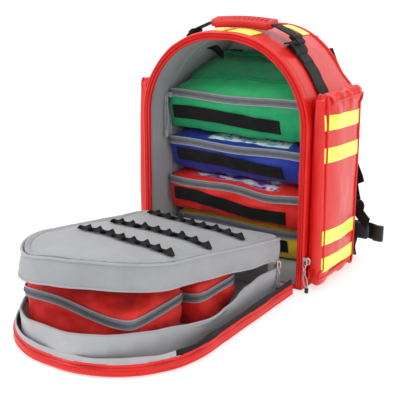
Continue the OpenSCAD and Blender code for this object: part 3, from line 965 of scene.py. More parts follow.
def buildHandle():
    low, high = span("handle_grip")
    middleY = (low.y + high.y) / 2
    bottom = low.z - 5.5
    half = gripShape["length"] / 2
    arc = lambda x: gripShape["crown"] * (1 - (x / half) ** 2) - 1.5

    def railLine(y, z, reach):
        return flow([(x, y, z + arc(x)) for x in [-reach + reach * k / 5 for k in range(11)]], 5)

    bm = bmesh.new()
    for side in (-1, 1):
        y = middleY + side * (gripShape["deep"] / 2 - 3.4)
        rail = [(-3.4, -8.4), (3.4, -8.4), (4.2, -4.2), (4.4, 1.5), (3.0, 4.6), (0, 5.6), (-3.0, 4.6), (-4.4, 1.5),
                (-4.2, -4.2)]
        sweep(bm, framesOn(railLine(y, bottom + 9, half - 5), (0, 0, 1)), rail)
    plate = band(gripShape["deep"] - 6, 3.0, 4)
    sweep(bm, framesOn(railLine(middleY, bottom + 4.4, half - 4), (0, 0, 1)), plate, coat=1)
    for k in range(gripShape["rungs"]):
        x = (k - (gripShape["rungs"] - 1) / 2) * (2 * half - 22) / gripShape["rungs"]
        slant = 3.4
        rung = flow([(x - slant, middleY - 10, bottom + 11.5 + arc(x)), (x, middleY, bottom + 13.4 + arc(x)),
                     (x + slant, middleY + 10, bottom + 11.5 + arc(x))], 4)
        sweep(bm, framesOn(rung, (0, 0, 1)), [(-2.3, -4.5), (2.3, -4.5), (2.6, 0.4), (1.4, 1.8), (-1.4, 1.8),
                                             (-2.6, 0.4)])
    for side in (-1, 1):                                     # closed ends with a rounded nose
        end = softBlock((side * (half - 4) - 6.5, middleY - 13.4, bottom + 1.4),
                        (side * (half - 4) + 6.5, middleY + 13.4, bottom + 14.2), 3.6, 3)
        merge(bm, end)
    bmesh.ops.rotate(bm, cent=(0, middleY, bottom + 8), matrix=Matrix.Rotation(gripShape["lean"], 3, "X"),
                     verts=bm.verts)
    addPiece("gripMoulding", bm, ["grip", "plastic"], "handle", ["handle_grip"], sharp=50)

    bm = bmesh.new()
    for side in (-1, 1):
        anchor = archSpot(anchorTurn, 17, middleY)
        line = flow([(half - 12, middleY, bottom + 7.5), (half + 2, middleY, bottom + 6.8),
                     (half + 13, middleY, bottom + 3.0), (anchor.x - 12, middleY, anchor.z + 10.0),
                     (anchor.x - 1, middleY, anchor.z + 1.5), (anchor.x + 2, middleY, anchor.z - 2.6),
                     (anchor.x - 6, middleY, anchor.z - 3.0)], 3)
        frames = framesOn(line, (0.25, 0, 1))
        sweep(bm, frames, band(webWide, 2.2, 5))
        stitch(bm, frames[:-5], 9.5, 1.3, 4.6, 3.0)
        # a moulded keeper round the strap's fold
        ring = softBlock((anchor.x - 15, middleY - 15.5, anchor.z + 3.4),
                         (anchor.x - 5, middleY + 15.5, anchor.z + 11.2), 1.6, 2)
        bmesh.ops.rotate(ring, cent=(anchor.x - 10, middleY, anchor.z + 7), verts=ring.verts,
                         matrix=Matrix.Rotation(0.62, 3, "Y"))
        merge(bm, ring)
        if side < 0:
            mirror(bm)
    addPiece("handleWebbing", bm, ["webbing", "plastic"], "handle", ["handle_webbing"])


def buildInside():
    # hook-and-loop webbing down the back lining and a hanging strap
    bm = bmesh.new()
    for x in (-82, 82):
        line = flow([(x, backY - 9.5, 82), (x, backY - 11, 200), (x + 1.5, backY - 10.5, 300),
                     (x, backY - 9.5, 366)], 12)
        frames = framesOn(line, (0, -1, 0))
        sweep(bm, frames, band(webWide, 1.8, 4))
        stitch(bm, frames, 10, 1.1)
    line = flow([(-118, 6, 376), (-104, 14, 382), (-92, 24, 378), (-84, 40, 362), (-80, 60, 346), (-84, 84, 336)], 5)
    sweep(bm, framesOn(line, (0.5, -0.4, 1)), band(webWide, 1.8, 4))
    addPiece("innerStraps", bm, ["webbing", "plastic"], "pack", ["inner_straps"])


buildShell()
buildRim()
buildLining()
buildBase()
buildBack()
print("shell ready")
buildPockets()
print("pockets ready")
buildTop()
buildHandle()
buildInside()
print("top and handle ready")

moduleLow, moduleHigh = span("module_red")
module = dict(voxel=5, pressure=4.5, cap=13, forward=13, crush=0.74)
moduleBack = moduleHigh.y
squeeze = dict(joint="lid_hinge", axis=(0, 1, 0), anchor=(0, moduleBack * mm, 0), keep=module["crush"])


def edgeLoop(low, high, z, round_, gap=6):
    # open line at a height round the left side, front and right side of a box
    sides = [[Vector((x, high.y - 6, z)), Vector((x, (low.y + high.y) / 2, z))] for x in (low.x, high.x)]
    front = rounded(low.x, high.x, low.y, high.y, round_, 6, z)[:12]
    return flow(sides[0] + front + sides[1][::-1], gap)


def recede(bm, low, high, zipZ, recess):
    # below its zip a module's front leans back towards the base
    for vert in bm.verts:
        down = clamp((zipZ - vert.co.z) / (zipZ - low.z))
        front = clamp((high.y - 30 - vert.co.y) / (high.y - 30 - low.y))
        vert.co.y += recess * down ** 1.3 * front


zipCoats = ["zipTape", "coil", "light"]
strapCoats = ["webbing", "plastic"]


def zipRound(surface, line, centre, level, wide=13, lift=0.9):
    # the tape and coil of a zip laid on a swollen body, along a level line
    out = []
    for k, spot in enumerate(line):
        near, normal, _, _ = surface.find_nearest(spot)
        line[k] = Vector((near.x, near.y, level(near)))
        away = Vector((near.x - centre.x, near.y - centre.y, 0))
        flat = Vector((normal.x, normal.y, 0))
        out.append(flat.normalized() if flat.length > 0.3 and flat.dot(away) > 0 else away.normalized())
    for k in range(6):
        line[1:-1] = [(a + b * 2 + c) / 4 for a, b, c in zip(line, line[1:], line[2:])]
        out[1:-1] = [(a + b * 2 + c).normalized() for a, b, c in zip(out, out[1:], out[2:])]
    reach = []
    for spot, way in zip(line, out):
        # the furthest the surface stands out under the tape
        tops = [surface.ray_cast(spot + way * 30 + Vector((0, 0, dz)), -way, 60)[0]
                for dz in (-wide / 3, 0, wide / 3)]
        reach.append(max([(top - spot).dot(way) for top in tops if top is not None] or [0.0]))
    for k in range(2):
        reach[1:-1] = [max(b, (a + b * 2 + c) / 4) for a, b, c in zip(reach, reach[1:], reach[2:])]
    line = [spot + way * (lift + more) for spot, way, more in zip(line, out, reach)]
    bm = bmesh.new()
    frames = framesOn(line, out)
    sweep(bm, frames, band(wide, 1.4, 4))
    coil = [(-2.2, 0.6), (-1.2, 2.0), (0, 2.3), (1.2, 2.0), (2.2, 0.6)]
    sweep(bm, frames, coil, closed=True, coat=1)
    studs(bm, everyStep(frames, 2.4), (3.4, 0.9, 1.3), (0, 2.2, 0), 1)
    for lane in (-wide / 2, wide / 2):
        sweep(bm, frames, ringProfile(1.0, 6, lane, 0.3), coat=2)
    return bm


def pullStrip(surface, x0, x1, z, sag, wide=webWide, lift=1.0):
    # a webbing pull lying on a front, sewn at both ends
    bm = softBlock((x0, 0, z), (x1, 2.0, z + wide), 0.7, 1)
    dice(bm, 6, "xz")
    for vert in bm.verts:
        along = (vert.co.x - x0) / (x1 - x0)
        vert.co.z += sag(along)
        vert.co.y -= 2.6 * math.sin(math.pi * along) ** 0.5 * (1 + 0.3 * math.sin(9 * along))
    mapLayer = bm.loops.layers.uv.verify()
    for face in bm.faces:
        for l in face.loops:
            l[mapLayer].uv = (l.vert.co.x * mm, (l.vert.co.z - z) * mm)
    pressOn(bm, surface, (0, 1, 0), lift)
    for end in (x0 + 3, x1 - 3):
        for k in range(6):
            along = (end - x0) / (x1 - x0)
            spot = Vector((end, 0, z + 2.5 + k * (wide - 5) / 5 + sag(along)))
            hit = surface.ray_cast(spot + Vector((0, -400, 0)), (0, 1, 0))[0]
            if hit is not None:
                studs(bm, [Matrix.Translation(hit + Vector((0, -lift - 1.6, 0)))], (0.8, 0.8, 3.2), coat=1)
    return bm


def stuffModule(bm, base, zipZ, cap, creases):
    # swells a module between its sewn edges and wrinkles it away from its zip
    back = moduleHigh.y - 1
    held = lambda co: (abs(co.z - zipZ) < 3 and co.y < back - 8) or co.y > back - 3 or co.z < base + 3.5
    bm = inflate(bm, module["voxel"], module["pressure"], cap, held, 18, 6.0)
    refine(bm)
    loose = lambda co: (0.15 + 0.85 * ease(abs(co.z - zipZ), 5, 18)) * (1.0 if co.y < back - 6 else 0.2)
    for crease in creases:
        rumple(bm, *crease, loose)
    return bm


def holdIn(vert, low):
    vert.co.x = max(moduleLow.x + 2.5, min(moduleHigh.x + 2.5, vert.co.x))
    vert.co.y = max(low.y - 9, min(moduleHigh.y + 0.5, vert.co.y))


def addModule(word, bm, low, high, zipZ, recess, wave, strap, cloth, body, nodes):
    # the module itself, the zip round it and the webbing pull on its front
    recede(bm, low, high, zipZ, recess)
    surface = treeOf(bm)
    addPiece("module" + word, bm, cloth, body, nodes[:1], flatten=squeeze, sharp=60)
    line = edgeLoop(low, high, zipZ, 14)
    bm = zipRound(surface, line, (low + high) / 2, wave)
    addPiece("zip" + word, bm, zipCoats, body, nodes[1:2], flatten=squeeze)
    addPiece("strap" + word, pullStrip(surface, *strap), strapCoats, body, nodes[2:], flatten=squeeze)
    return surface


def pressPatch(x0, x1, y0, y1, thick, soft, cell, surface, lift):
    # a flat patch laid on a top
    bm = softBlock((x0, y0, 0), (x1, y1, thick), soft, 1)
    dice(bm, cell, "xy")
    pressOn(bm, surface, (0, 0, -1), lift)
    return bm


def buildModule(word, body, base, cloth, zipUp, strap, card=None, dent=None, nodes=(), front=0, seed=1.0,
                recess=15):
    low = Vector((moduleLow.x + 3, moduleLow.y - module["forward"] + front, base + 1.5))
    high = Vector((moduleHigh.x - 3, moduleHigh.y - 1, base + 70))
    bm = softBlock(low, high, 9, 3)
    dice(bm, 12)
    zipZ = base + zipUp
    for vert in bm.verts:                                    # the top slopes down to the zip at the front
        along = clamp((vert.co.y - low.y) / 55)
        if vert.co.z > base + 45:
            vert.co.z -= (70 - zipUp - 6) * (1 - along) * (vert.co.z - base - 45) / 25
    creases = ((4.6, 38, seed, (1, 1, 1.4)), (1.7, 14, seed + 5, (1, 1, 0.6)))
    bm = stuffModule(bm, base, zipZ, module["cap"], creases)
    roof = base + 73.6
    share = lambda co: (co.x - low.x) / (high.x - low.x)
    for vert in bm.verts:
        if dent:
            reach = clamp((low.y + 46 - vert.co.y) / 46)
            vert.co.z -= dent(share(vert.co)) * reach * clamp((vert.co.z - base - 20) / 40)
        holdIn(vert, low)
        vert.co.z = max(base + 0.3, min(roof, vert.co.z))
    wave = lambda near: zipZ + 1.8 * math.sin((near.x - low.x) / 31 + seed) - (
        dent(share(near)) * 0.7 * clamp((low.y + 40 - near.y) / 40) if dent else 0)
    surface = addModule(word, bm, low, high, zipZ, recess, wave, strap, cloth, body, nodes)
    if card:
        x0, x1, y0, y1, coat, node = card
        addPiece("card" + word, pressPatch(x0, x1, y0, y1, 1.2, 0.4, 7, surface, -1.0), coat, body, [node],
                 flatten=squeeze)
        bm = pressPatch(x0 - 8, x1 + 8, y0 - 2, y1 + 8, 0.8, 0.3, 7, surface, 0.2)
        rumple(bm, 1.2, 20, seed)
        addPiece("film" + word, bm, "film", body, flatten=squeeze)


def buildGreen():
    base, top = (corner.z for corner in span("module_green"))
    low = Vector((moduleLow.x + 3, moduleLow.y - module["forward"], base + 1.5))
    high = Vector((moduleHigh.x - 3, moduleHigh.y - 1, top))
    zipZ = base + 68
    bm = bmesh.new()
    section = [(low.y, base + 1.5), (high.y, base + 1.5), (high.y, top - 5), (high.y - 16, top - 3),
               (low.y + 36, base + 84), (low.y, zipZ + 2)]
    ring = [bm.verts.new((low.x, y, z)) for y, z in section]
    thicken(bm, [bm.faces.new(ring)], (high.x - low.x, 0, 0))
    bmesh.ops.recalc_face_normals(bm, faces=bm.faces)
    dice(bm, 12)
    for vert in bm.verts:                                    # drawn in under the arch
        t = max(0.0, (vert.co.z - base - 60) / 82)
        left, right = low.x + 56 * t ** 1.3, high.x - 62 * t ** 1.3
        share = (vert.co.x - low.x) / (high.x - low.x)
        vert.co.x = left + share * (right - left)
    bm = stuffModule(bm, base, zipZ, 10, ((4.6, 40, 2.0, (1, 1, 1.3)), (1.6, 15, 7.0, (1, 1, 0.7))))
    limit = archShape["radius"] - 10
    for vert in bm.verts:
        holdIn(vert, low)
        flatX = halfWidth - archShape["radius"]
        reach = Vector((max(0.0, abs(vert.co.x) - flatX), max(0.0, vert.co.z - archTop + archShape["radius"])))
        if reach.length > limit:
            reach *= limit / reach.length
            vert.co.x = math.copysign(flatX + reach.x, vert.co.x)
            vert.co.z = archTop - archShape["radius"] + reach.y
    wave = lambda near: zipZ + 2.0 * math.sin((near.x - low.x) / 36 + 1.0)
    sag = lambda t: -6.0 * t + 2.5 * math.sin(5 * t)
    surface = addModule("Green", bm, low, high, zipZ, 15, wave, (-138, 80, base + 22, sag), "green",
                        "green_module", ("module_green", "green_zip", "green_strap"))

    # the lip under the window, painted a lighter green as light falling on its front slope, and the window's clear
    # film in its bound frame
    bm = pressPatch(low.x + 6, high.x - 6, low.y + 3, low.y + 34, 1.4, 0.4, 6, surface, 0.4)
    addPiece("greenLip", bm, "greenLight", "green_module", flatten=squeeze)
    x0, x1, y0, y1 = low.x + 20, high.x - 20, low.y + 38, high.y - 18
    rim = rounded(x0, x1, y0, y1, 20, 7)
    for spot in rim:
        t = (spot.y - y0) / (y1 - y0)
        spot.x = (x0 + x1) / 2 + (spot.x - (x0 + x1) / 2) * (1 - 0.34 * t ** 1.4)
    bm = bmesh.new()
    thicken(bm, [bm.faces.new([bm.verts.new(spot) for spot in rim])], (0, 0, 0.9))
    dice(bm, 7, "xy")
    for vert in bm.verts:
        tx = (vert.co.x - (x0 + x1) / 2) / ((x1 - x0) / 2)
        ty = (vert.co.y - y0) / (y1 - y0)
        vert.co.z += 4.5 * max(0.0, 1 - tx * tx) * math.sin(math.pi * clamp(ty))
    pressOn(bm, surface, (0, 0, -1), 1.0)
    rumple(bm, 1.4, 26, 4.0)
    addPiece("greenWindow", bm, "film", "green_module", ["green_window"], flatten=squeeze)
    line, out = [], []
    count = len(rim)
    for k, spot in enumerate(rim):
        after = rim[(k + 1) % count]
        steps = max(1, round((after - spot).length / 7))
        for j in range(steps):
            place = spot.lerp(after, j / steps)
            hit, normal, _, _ = surface.ray_cast(place + Vector((0, 0, 600)), (0, 0, -1))
            if hit is not None:
                line.append(hit + normal * 1.2)
                out.append(normal)
    bm = bmesh.new()
    sweep(bm, framesOn(line, out, True), band(5, 1.6, 3, 0.6), loop=True)
    addPiece("windowBinding", bm, "green", "green_module", flatten=squeeze)



flat = lambda t: 0.0
levels = {word: span("module_" + word)[0].z for word in ("yellow", "red", "blue")}
buildModule("Yellow", "pack", levels["yellow"], "yellow", 54, (-133, 90, levels["yellow"] + 18, flat),
            nodes=("module_yellow", "yellow_trim"), front=26, seed=11.0)
buildModule("Red", "red_module", levels["red"], "redCloth", 58,
            (-132, 98, levels["red"] + 15, lambda t: 6 - 16 * t + 3 * math.sin(7 * t)),
            (-98, 70, -27, 62, "redCard", "red_label"),
            lambda t: 13 * math.exp(-((t - 0.72) / 0.13) ** 2), ("module_red", "red_zip", "red_strap"),
            seed=3.0, recess=3)
buildModule("Blue", "blue_module", levels["blue"], "blue", 56,
            (-129, 88, levels["blue"] + 16, lambda t: 4 - 8 * t + 2 * math.sin(5 * t)),
            (-70, 92, -28, 60, "blueCard", "blue_label"), None, ("module_blue", "blue_zip", "blue_strap"), seed=6.5)
buildGreen()
print("modules ready")


def sliderBody(place, turn):
    # a zip slider: two plates on a wedge, with a bail across its back
    parts = [softBlock((-4.6, -3.6, -7), (4.6, -1.9, 7), 0.8, 2), softBlock((-4.6, 1.9, -7), (4.6, 3.6, 7), 0.8, 2),
             softBlock((-1.6, -2.2, -1), (1.6, 2.2, 6), 0.6, 2)]
    bail = bmesh.new()
    line = flow([(0, 3.2, -5.5), (0, 6.2, -4.2), (0, 6.8, 0), (0, 6.2, 4.2), (0, 3.2, 5.5)], 1.5)
    sweep(bail, framesOn(line, (1, 0, 0)), ringProfile(1.1, 6))
    bm = joined(parts + [bail])
    for vert in bm.verts:                                    # narrower at its tail
        vert.co.x *= 1.0 - 0.18 * (vert.co.z + 7) / 14 if abs(vert.co.y) < 4 else 1.0
    bmesh.ops.transform(bm, matrix=Matrix.Translation(place) @ turn, verts=bm.verts)
    return bm


def cordPull(top, drop, side, lean=0.0):
    # a metal eye, a doubled cord and its moulded end, hanging from top
    top = Vector(top)
    parts = []
    for k in range(3):
        ring = bmesh.new()
        turn = Matrix.Rotation(math.pi / 2 * (k % 2), 4, "Z")
        circle = [top + turn @ Vector((2.6 * math.cos(a), 0, 2.9 * math.sin(a) - 1.5 - 4.4 * k))
                  for a in [2 * math.pi * j / 14 for j in range(14)]]
        sweep(ring, framesOn(circle, turn @ Vector((0, 1, 0)), True), ringProfile(0.75, 6), loop=True)
        parts.append(ring)
    eye = top + Vector((0, 0, -13))
    end = top + Vector((lean * drop, 0, -drop))
    cord = bmesh.new()
    for way in (-1, 1):
        line = flow([eye + Vector((0, 0, 1.5)), eye.lerp(end, 0.18) + side * (2.6 * way),
                     eye.lerp(end, 0.45) + side * (3.6 * way), eye.lerp(end, 0.72) + side * (1.6 * way),
                     eye.lerp(end, 0.86) + side * (0.5 * way)], 2)
        sweep(cord, framesOn(line, side.cross((0, 0, 1))), ringProfile(1.05, 6), coat=1)
    tip = softBlock((-3.1, -2.3, -0.16 * drop), (3.1, 2.3, 2.0), 1.5, 3)
    turn = Matrix((side, side.cross((0, 0, 1)) * -1, (0, 0, 1))).transposed().to_4x4()
    bmesh.ops.transform(tip, matrix=Matrix.Translation(eye.lerp(end, 0.84)) @ turn, verts=tip.verts)
    for face in tip.faces:
        face.material_index = 2
    return joined(parts + [cord, tip])


def buildSliders():
    for side, word in ((1, "right"), (-1, "left")):
        low, high = span("slider_" + word)
        middle = (low + high) / 2
        turn = Matrix.Rotation(-side * math.pi / 2, 4, "Z")
        place = Vector((side * (halfWidth + 4.2), middle.y + 0.4, middle.z))
        addPiece("mainSlider" + word.title(), sliderBody(place, turn), "zinc", word + "_slider", ["slider_" + word])
        low, high = span("pull_" + word)
        top = Vector((side * (halfWidth + 6.4), (low.y + high.y) / 2 - 2.5, high.z - 1))
        addPiece("mainPull" + word.title(), cordPull(top, high.z - 3.5, Vector((1, 0, 0)), side * 0.15),
                 ["zinc", "cord", "plastic"], word + "_pull", ["pull_" + word])
    low, high = span("green_pull")
    top = Vector(((low.x + high.x) / 2, low.y - 14, high.z + 1))
    addPiece("greenPull", cordPull(top, 74, Vector((1, 0, 0))), ["zinc", "cord", "cord"], "green_zip_pull",
             ["green_pull"])
    place = Vector((low.x + 5, low.y - 10, high.z + 3))
    turn = Matrix.Rotation(math.pi, 4, "Z") @ Matrix.Rotation(math.pi / 2, 4, "Y")
    addPiece("greenSlider", sliderBody(place, turn), "zinc", "green_module")
    low, high = span("cover_pull")
    top = Vector((high.x + 1, (low.y + high.y) / 2, high.z - 1))
    addPiece("coverPull", cordPull(top, 42, Vector((0, 1, 0))), ["zinc", "cord", "plastic"], "cover_zip_pull",
             ["cover_pull"])
    place = Vector((high.x - 2.4, (low.y + high.y) / 2, high.z + 4))
    addPiece("coverSlider", sliderBody(place, Matrix.Rotation(-math.pi / 2, 4, "Z")), "zinc", "lid")


buildSliders()
print("sliders ready")

lid = dict(low=5.5, inset=3.5, wall=5)
gusset = dict(near=46, tip=56, flare=13)
lidTip = lidLow.y


def buildLid():
    bm = archBlock(archShape, lid["low"], 9, (0.0, 3.0), True)
    dice(bm, 14, "xy")
    rumple(bm, 1.0, 40, 6.0, (1, 1, 1), lambda co: 1.0 if co.z > 1.5 else 0.0)
    addPiece("lidPanel", bm, "tarpaulin", "lid", ["lid_panel"])
    bm = archBlock(archShape, lid["low"] + 5, 8.5, (3.2, 4.4), True)
    dice(bm, 12, "xy")
    rumple(bm, 1.3, 34, 16.0, (1, 1, 1), lambda co: 1.0 if co.z > 3.8 else 0.0)
    addPiece("lidLining", bm, "lining", "lid")

    # the wall: a welt at the foot, a plain band, the zip's tape with its teeth, and a welt on top
    section = [(-8.4, 2.6), (-6.0, 0.4), (-1.6, 1.2), (0.9, 2.8), (1.8, 4.2), (0.6, 5.4), (0.8, 6.6), (1.2, 8.2),
               (0.8, 9.8), (0.0, 11.0), (1.3, 11.8), (1.9, 13.0), (1.3, 14.2), (0.0, 15.0), (-0.6, 15.6),
               (0.9, 16.4), (1.0, 18.0), (-0.6, 19.2), (-1.4, 19.8), (-1.8, 23.5), (-2.4, 27.4), (-3.8, 27.4),
               (-4.6, 20), (-5.2, 12), (-8.0, 4.2)]
    bm = bmesh.new()
    frames = archFrames(archShape, lid["low"] + 2, lid["inset"], 6, True)
    sweep(bm, frames, section)
    rumple(bm, 1.5, 38, 26.0, (1, 1, 0.3), lambda co: min(1.0, co.z / 9))
    fine = archFrames(archShape, lid["low"] + 12, lid["inset"], coilPitch, True)
    studs(bm, fine, (0.9, 2.6, 1.4), (0.9, 15.4, 0), 1)
    for face in bm.faces:                                    # the red stops short of the wall's gray upper edge; on the right towards the far end those faces take black webbing, a painted shadow band between rim and wall
        if face.calc_center_median().z > 19.6:
            mid = face.calc_center_median()
            face.material_index = 3 if mid.x > 100 and mid.y > lidTip + 95 else 2
    for vert in bm.verts:
        vert.co.z = max(0.1, min(vert.co.z, 28.6))
    # the fourth coat, black webbing, is only a painted shadow on the rim's right side
    addPiece("lidRim", bm, ["rimTape", "redTeeth", "lining", "webbing"], "lid", ["lid_rim"])
    # near wall, low, where the fabric turns up to the hinge
    foot = lidSum - lid["low"]
    bm = softBlock((-halfWidth + 6, foot - 5.5, 2.4), (halfWidth - 6, foot - 0.6, 15), 1.8, 2)
    dice(bm, 10, "xz")
    rumple(bm, 0.8, 24, 4.0)
    addPiece("lidNearWall", bm, "lining", "lid")

    bm = bmesh.new()
    frames = archFrames(archShape, lid["low"] + 24, lid["wall"] + lid["inset"] - 0.4, 7, True)
    sweep(bm, frames, [(0.0, 5), (-1.2, 5), (-1.6, 15), (-1.2, 25), (0.0, 25)])
    rumple(bm, 0.8, 20, 3.0)
    addPiece("lidGrip", bm, "webbing", "lid", ["lid_zip"])


def gussetTop(spot):
    # the wall stands a little taller at its far end and sags at the far left and halfway down the right
    away = (lidSum - spot.y) / (lidSum - trayLow.y)
    left = math.exp(-((spot.x - trayLow.x) / 70) ** 2 - ((away - 0.86) / 0.2) ** 2)
    rise = (gusset["tip"] - gusset["near"]) * ease(away, 0.4, 0.95)
    return gusset["near"] + rise - 14 * left - 8 * rightSag(spot)


def rightSag(spot):
    return math.exp(-((spot.x - trayHigh.x) / 30) ** 2 - ((spot.y + 330) / 75) ** 2)


def gussetLean(spot):
    # how far the wall's upper edge leans out
    return noise.noise(Vector((spot.x / 55, spot.y / 55, 3.0))) * 9 + 3.5 + gusset["flare"] * rightSag(spot)


def flatSize(bm, frames, slack):
    # a strip's run and height before it was sewn, and its area, in metres
    area = sum(face.calc_area() for face in bm.faces) / 2 * mm * mm
    run = sum((b.translation - a.translation).length for a, b in zip(frames, frames[1:])) * mm
    return run, area / run * slack, area


def buildGusset():
    bm = bmesh.new()
    frames = archFrames(trayShape, 11.5, 1.0, 5, True)
    rows = 12
    section = [(0.9, 3.2 + 60 * k / rows) for k in range(rows + 1)]
    section += [(-0.9, 3.2 + 60 * k / rows) for k in range(rows, -1, -1)]
    sweep(bm, frames, section)
    middle = Vector((trayShape["middle"], (trayLow.y + trayHigh.y) / 2, 0))
    limit = lidLow.x + 13.5
    for vert in bm.verts:
        share = (vert.co.z - 3.2) / 60
        top = gussetTop(vert.co)
        vert.co.z = 3.2 + share * (top - 3.2)
        away = Vector((vert.co.x - middle.x, (vert.co.y - middle.y) * 0.5, 0)).normalized()
        lean = gussetLean(vert.co)
        fold = noise.noise(Vector((vert.co.x / 17, vert.co.y / 17, vert.co.z / 60 + 8.0))) * 3.0
        belly = math.sin(math.pi * share) * noise.noise(Vector((vert.co.x / 80, vert.co.y / 80, 1.0))) * 12
        vert.co += away * ((lean * share + belly * 0.8 + fold * share * (1.2 - share)) - 1.0)
        vert.co.x = max(limit, min(-limit, vert.co.x))
    edgeLine, out = [], []
    for item in frames:
        spot = item.translation
        away = Vector((spot.x - middle.x, (spot.y - middle.y) * 0.5, 0)).normalized()
        fold = noise.noise(Vector((spot.x / 17, spot.y / 17, gussetTop(spot) / 60 + 8.0))) * 0.6
        place = spot + away * (gussetLean(spot) + fold - 1.0)
        place.x = max(limit, min(-limit, place.x))
        place.z = gussetTop(spot)
        edgeLine.append(place)
        out.append(away)
    run, tall, area = flatSize(bm, frames, 1.05)
    piece = addPiece("gussetWall", bm, "lining", "lid", ["tray_wall"])
    min(area, run * max(tall, 0.05))
    bm = bmesh.new()
    edgeFrames = framesOn(edgeLine, out)
    sweep(bm, edgeFrames, ringProfile(1.5, 8))
    inside = [spot - way * 2.0 + Vector((0, 0, -4.5)) for spot, way in zip(edgeLine, out)]
    sweep(bm, framesOn(inside, [-way for way in out]), band(8, 1.2, 3), coat=1)
    studs(bm, everyStep(framesOn(inside, [-way for way in out]), coilPitch), (3.2, 1.0, 1.4), (0, 0.9, 0), 2)
    addPiece("gussetEdge", bm, ["light", "zipTape", "coil"], "lid")


def buildPouch(word, node, grow, zipZ, zipRise, seed, cap=13):
    low, high = span(node)
    low, high = low + Vector(grow[0]), high + Vector(grow[1])
    bm = softBlock(low, high, 14, 3)
    dice(bm, 12)
    level = lambda co: zipZ + zipRise * (co.x - low.x) / (high.x - low.x)
    for vert in bm.verts:                                    # the lid slopes up from the zip
        edge = min(vert.co.x - low.x, high.x - vert.co.x, vert.co.y - low.y) / 36
        if vert.co.z > level(vert.co):
            vert.co.z -= (vert.co.z - level(vert.co)) * 0.45 * max(0.0, 1 - edge)
    held = lambda co: abs(co.z - level(co)) < 3 or co.z < low.z + 3
    bm = inflate(bm, 5, 4.5, cap, held, 18, 6.0)
    refine(bm)
    loose = lambda co: 0.1 + 0.9 * ease(abs(co.z - level(co)), 5, 20) * ease(co.z, low.z + 2, low.z + 10)
    rumple(bm, 8.0, 38, seed, (1, 1, 1.3), loose)
    rumple(bm, 2.8, 15, seed + 4, (1, 1, 0.6), loose)
    for vert in bm.verts:
        vert.co.z = max(4.6, min(vert.co.z, high.z + 4))
    surface = treeOf(bm)
    crush = dict(joint="lid_hinge", axis=(0, 0, 1), anchor=(0, 0, 0.003), keep=0.82)
    addPiece("pouch" + word, bm, "redCloth", "lid", [node], flatten=crush, sharp=60)
    points = rounded(low.x, high.x, low.y, high.y, 20, 5, zipZ)
    line = flow(points + points[:1], 6)
    wave = lambda near: level(near) + 2.2 * math.sin(near.x / 24 + seed)
    return zipRound(surface, line, (low + high) / 2, wave), crush


def buildPouches():
    zips = []
    for args in (("Large", "pouch_large", ((-3, -1, 1), (27, -2, 16)), 74, -13, 3.0),
                 ("Small", "pouch_small", ((2, 4, 1), (2, -2, 12)), 50, 6, 8.0)):
        ring, crush = buildPouch(*args)
        zips.append(ring)
    addPiece("pouchZips", joined(zips), zipCoats, "lid", ["pouch_zips"], flatten=crush)


hinge = dict(start=-104, end=-131)


def buildHinge():
    # red fabric from the base's front edge to the panel's, with the gray lining over it
    for word, coat, z, thick, inset in (("hingeFabric", "tarpaulin", 1.4, 1.6, 18),
                                        ("hingeLining", "lining", 4.4, 1.4, 24)):
        bm = softBlock((-halfWidth + inset, hinge["end"] - 6, z - thick / 2),
                       (halfWidth - inset, frontY + 5, z + thick / 2), 0.5, 1)
        dice(bm, 3.5, "y")
        dice(bm, 12, "x")
        for vert in bm.verts:
            t = clamp((frontY - vert.co.y) / 28)
            vert.co.z += 1.3 * math.sin(math.pi * t) * (1 if z > 3 else 0.3)
        rumple(bm, 0.8, 30, z, (1, 2, 1), lambda co: 1.0 if co.z > 2 else 0.0)
        addPiece(word, bm, coat, nodes=["hinge_strip"] if z < 3 else [],
                 bend=("pack", "lid", (0, hinge["start"] * mm, 0), (0, hinge["end"] * mm, 0)))


buildLid()
buildGusset()
buildPouches()
buildHinge()
print("front panel ready")


cover = dict(near=10, skirtLow=51, lift=8.0, tip=5.0, narrow=0.075, curl=4.0, droop=9.0)
coverBend = [coverAxis + propTurn.to_3x3() @ Vector((0, lidSum - h - coverAxis.y, 0)) for h in (43, 62)]
coverBend = ("cover_base", "cover", *[(0, spot.y * mm, spot.z * mm) for spot in coverBend])


def coverSpread(co):
    # draws in and shifts towards the far end, with that end's corners curled up, before the cover is tilted
    away = (lidSum - co.y) / (lidSum - trayLow.y)
    across = co.x - trayShape["middle"]
    wide = 1.03 - 0.02 * ease(away, 0.0, 0.25) - cover["narrow"] * ease(away, 0.2, 0.7)
    far = ease(away, 0.68, 1.0)
    co.x = trayShape["middle"] + across * wide + 5.0 * ease(away, 0.55, 1.0)
    co.z += cover["lift"] + far * (cover["curl"] if across > 0 else -cover["droop"]) * min(1.0, abs(across) / 60)
    co.y -= cover["tip"] * 0.8 * max(0.0, (away - 0.55) / 0.45) ** 1.5
    return co


def skirtWave(co):
    # the skirt's outward way at a point, and how far its lower edge wanders
    away = Vector((co.x - trayShape["middle"], (co.y + 300) * 0.6, 0)).normalized()
    return away, noise.noise(Vector((co.x / 60, co.y / 60, 5.0))) * 5.5


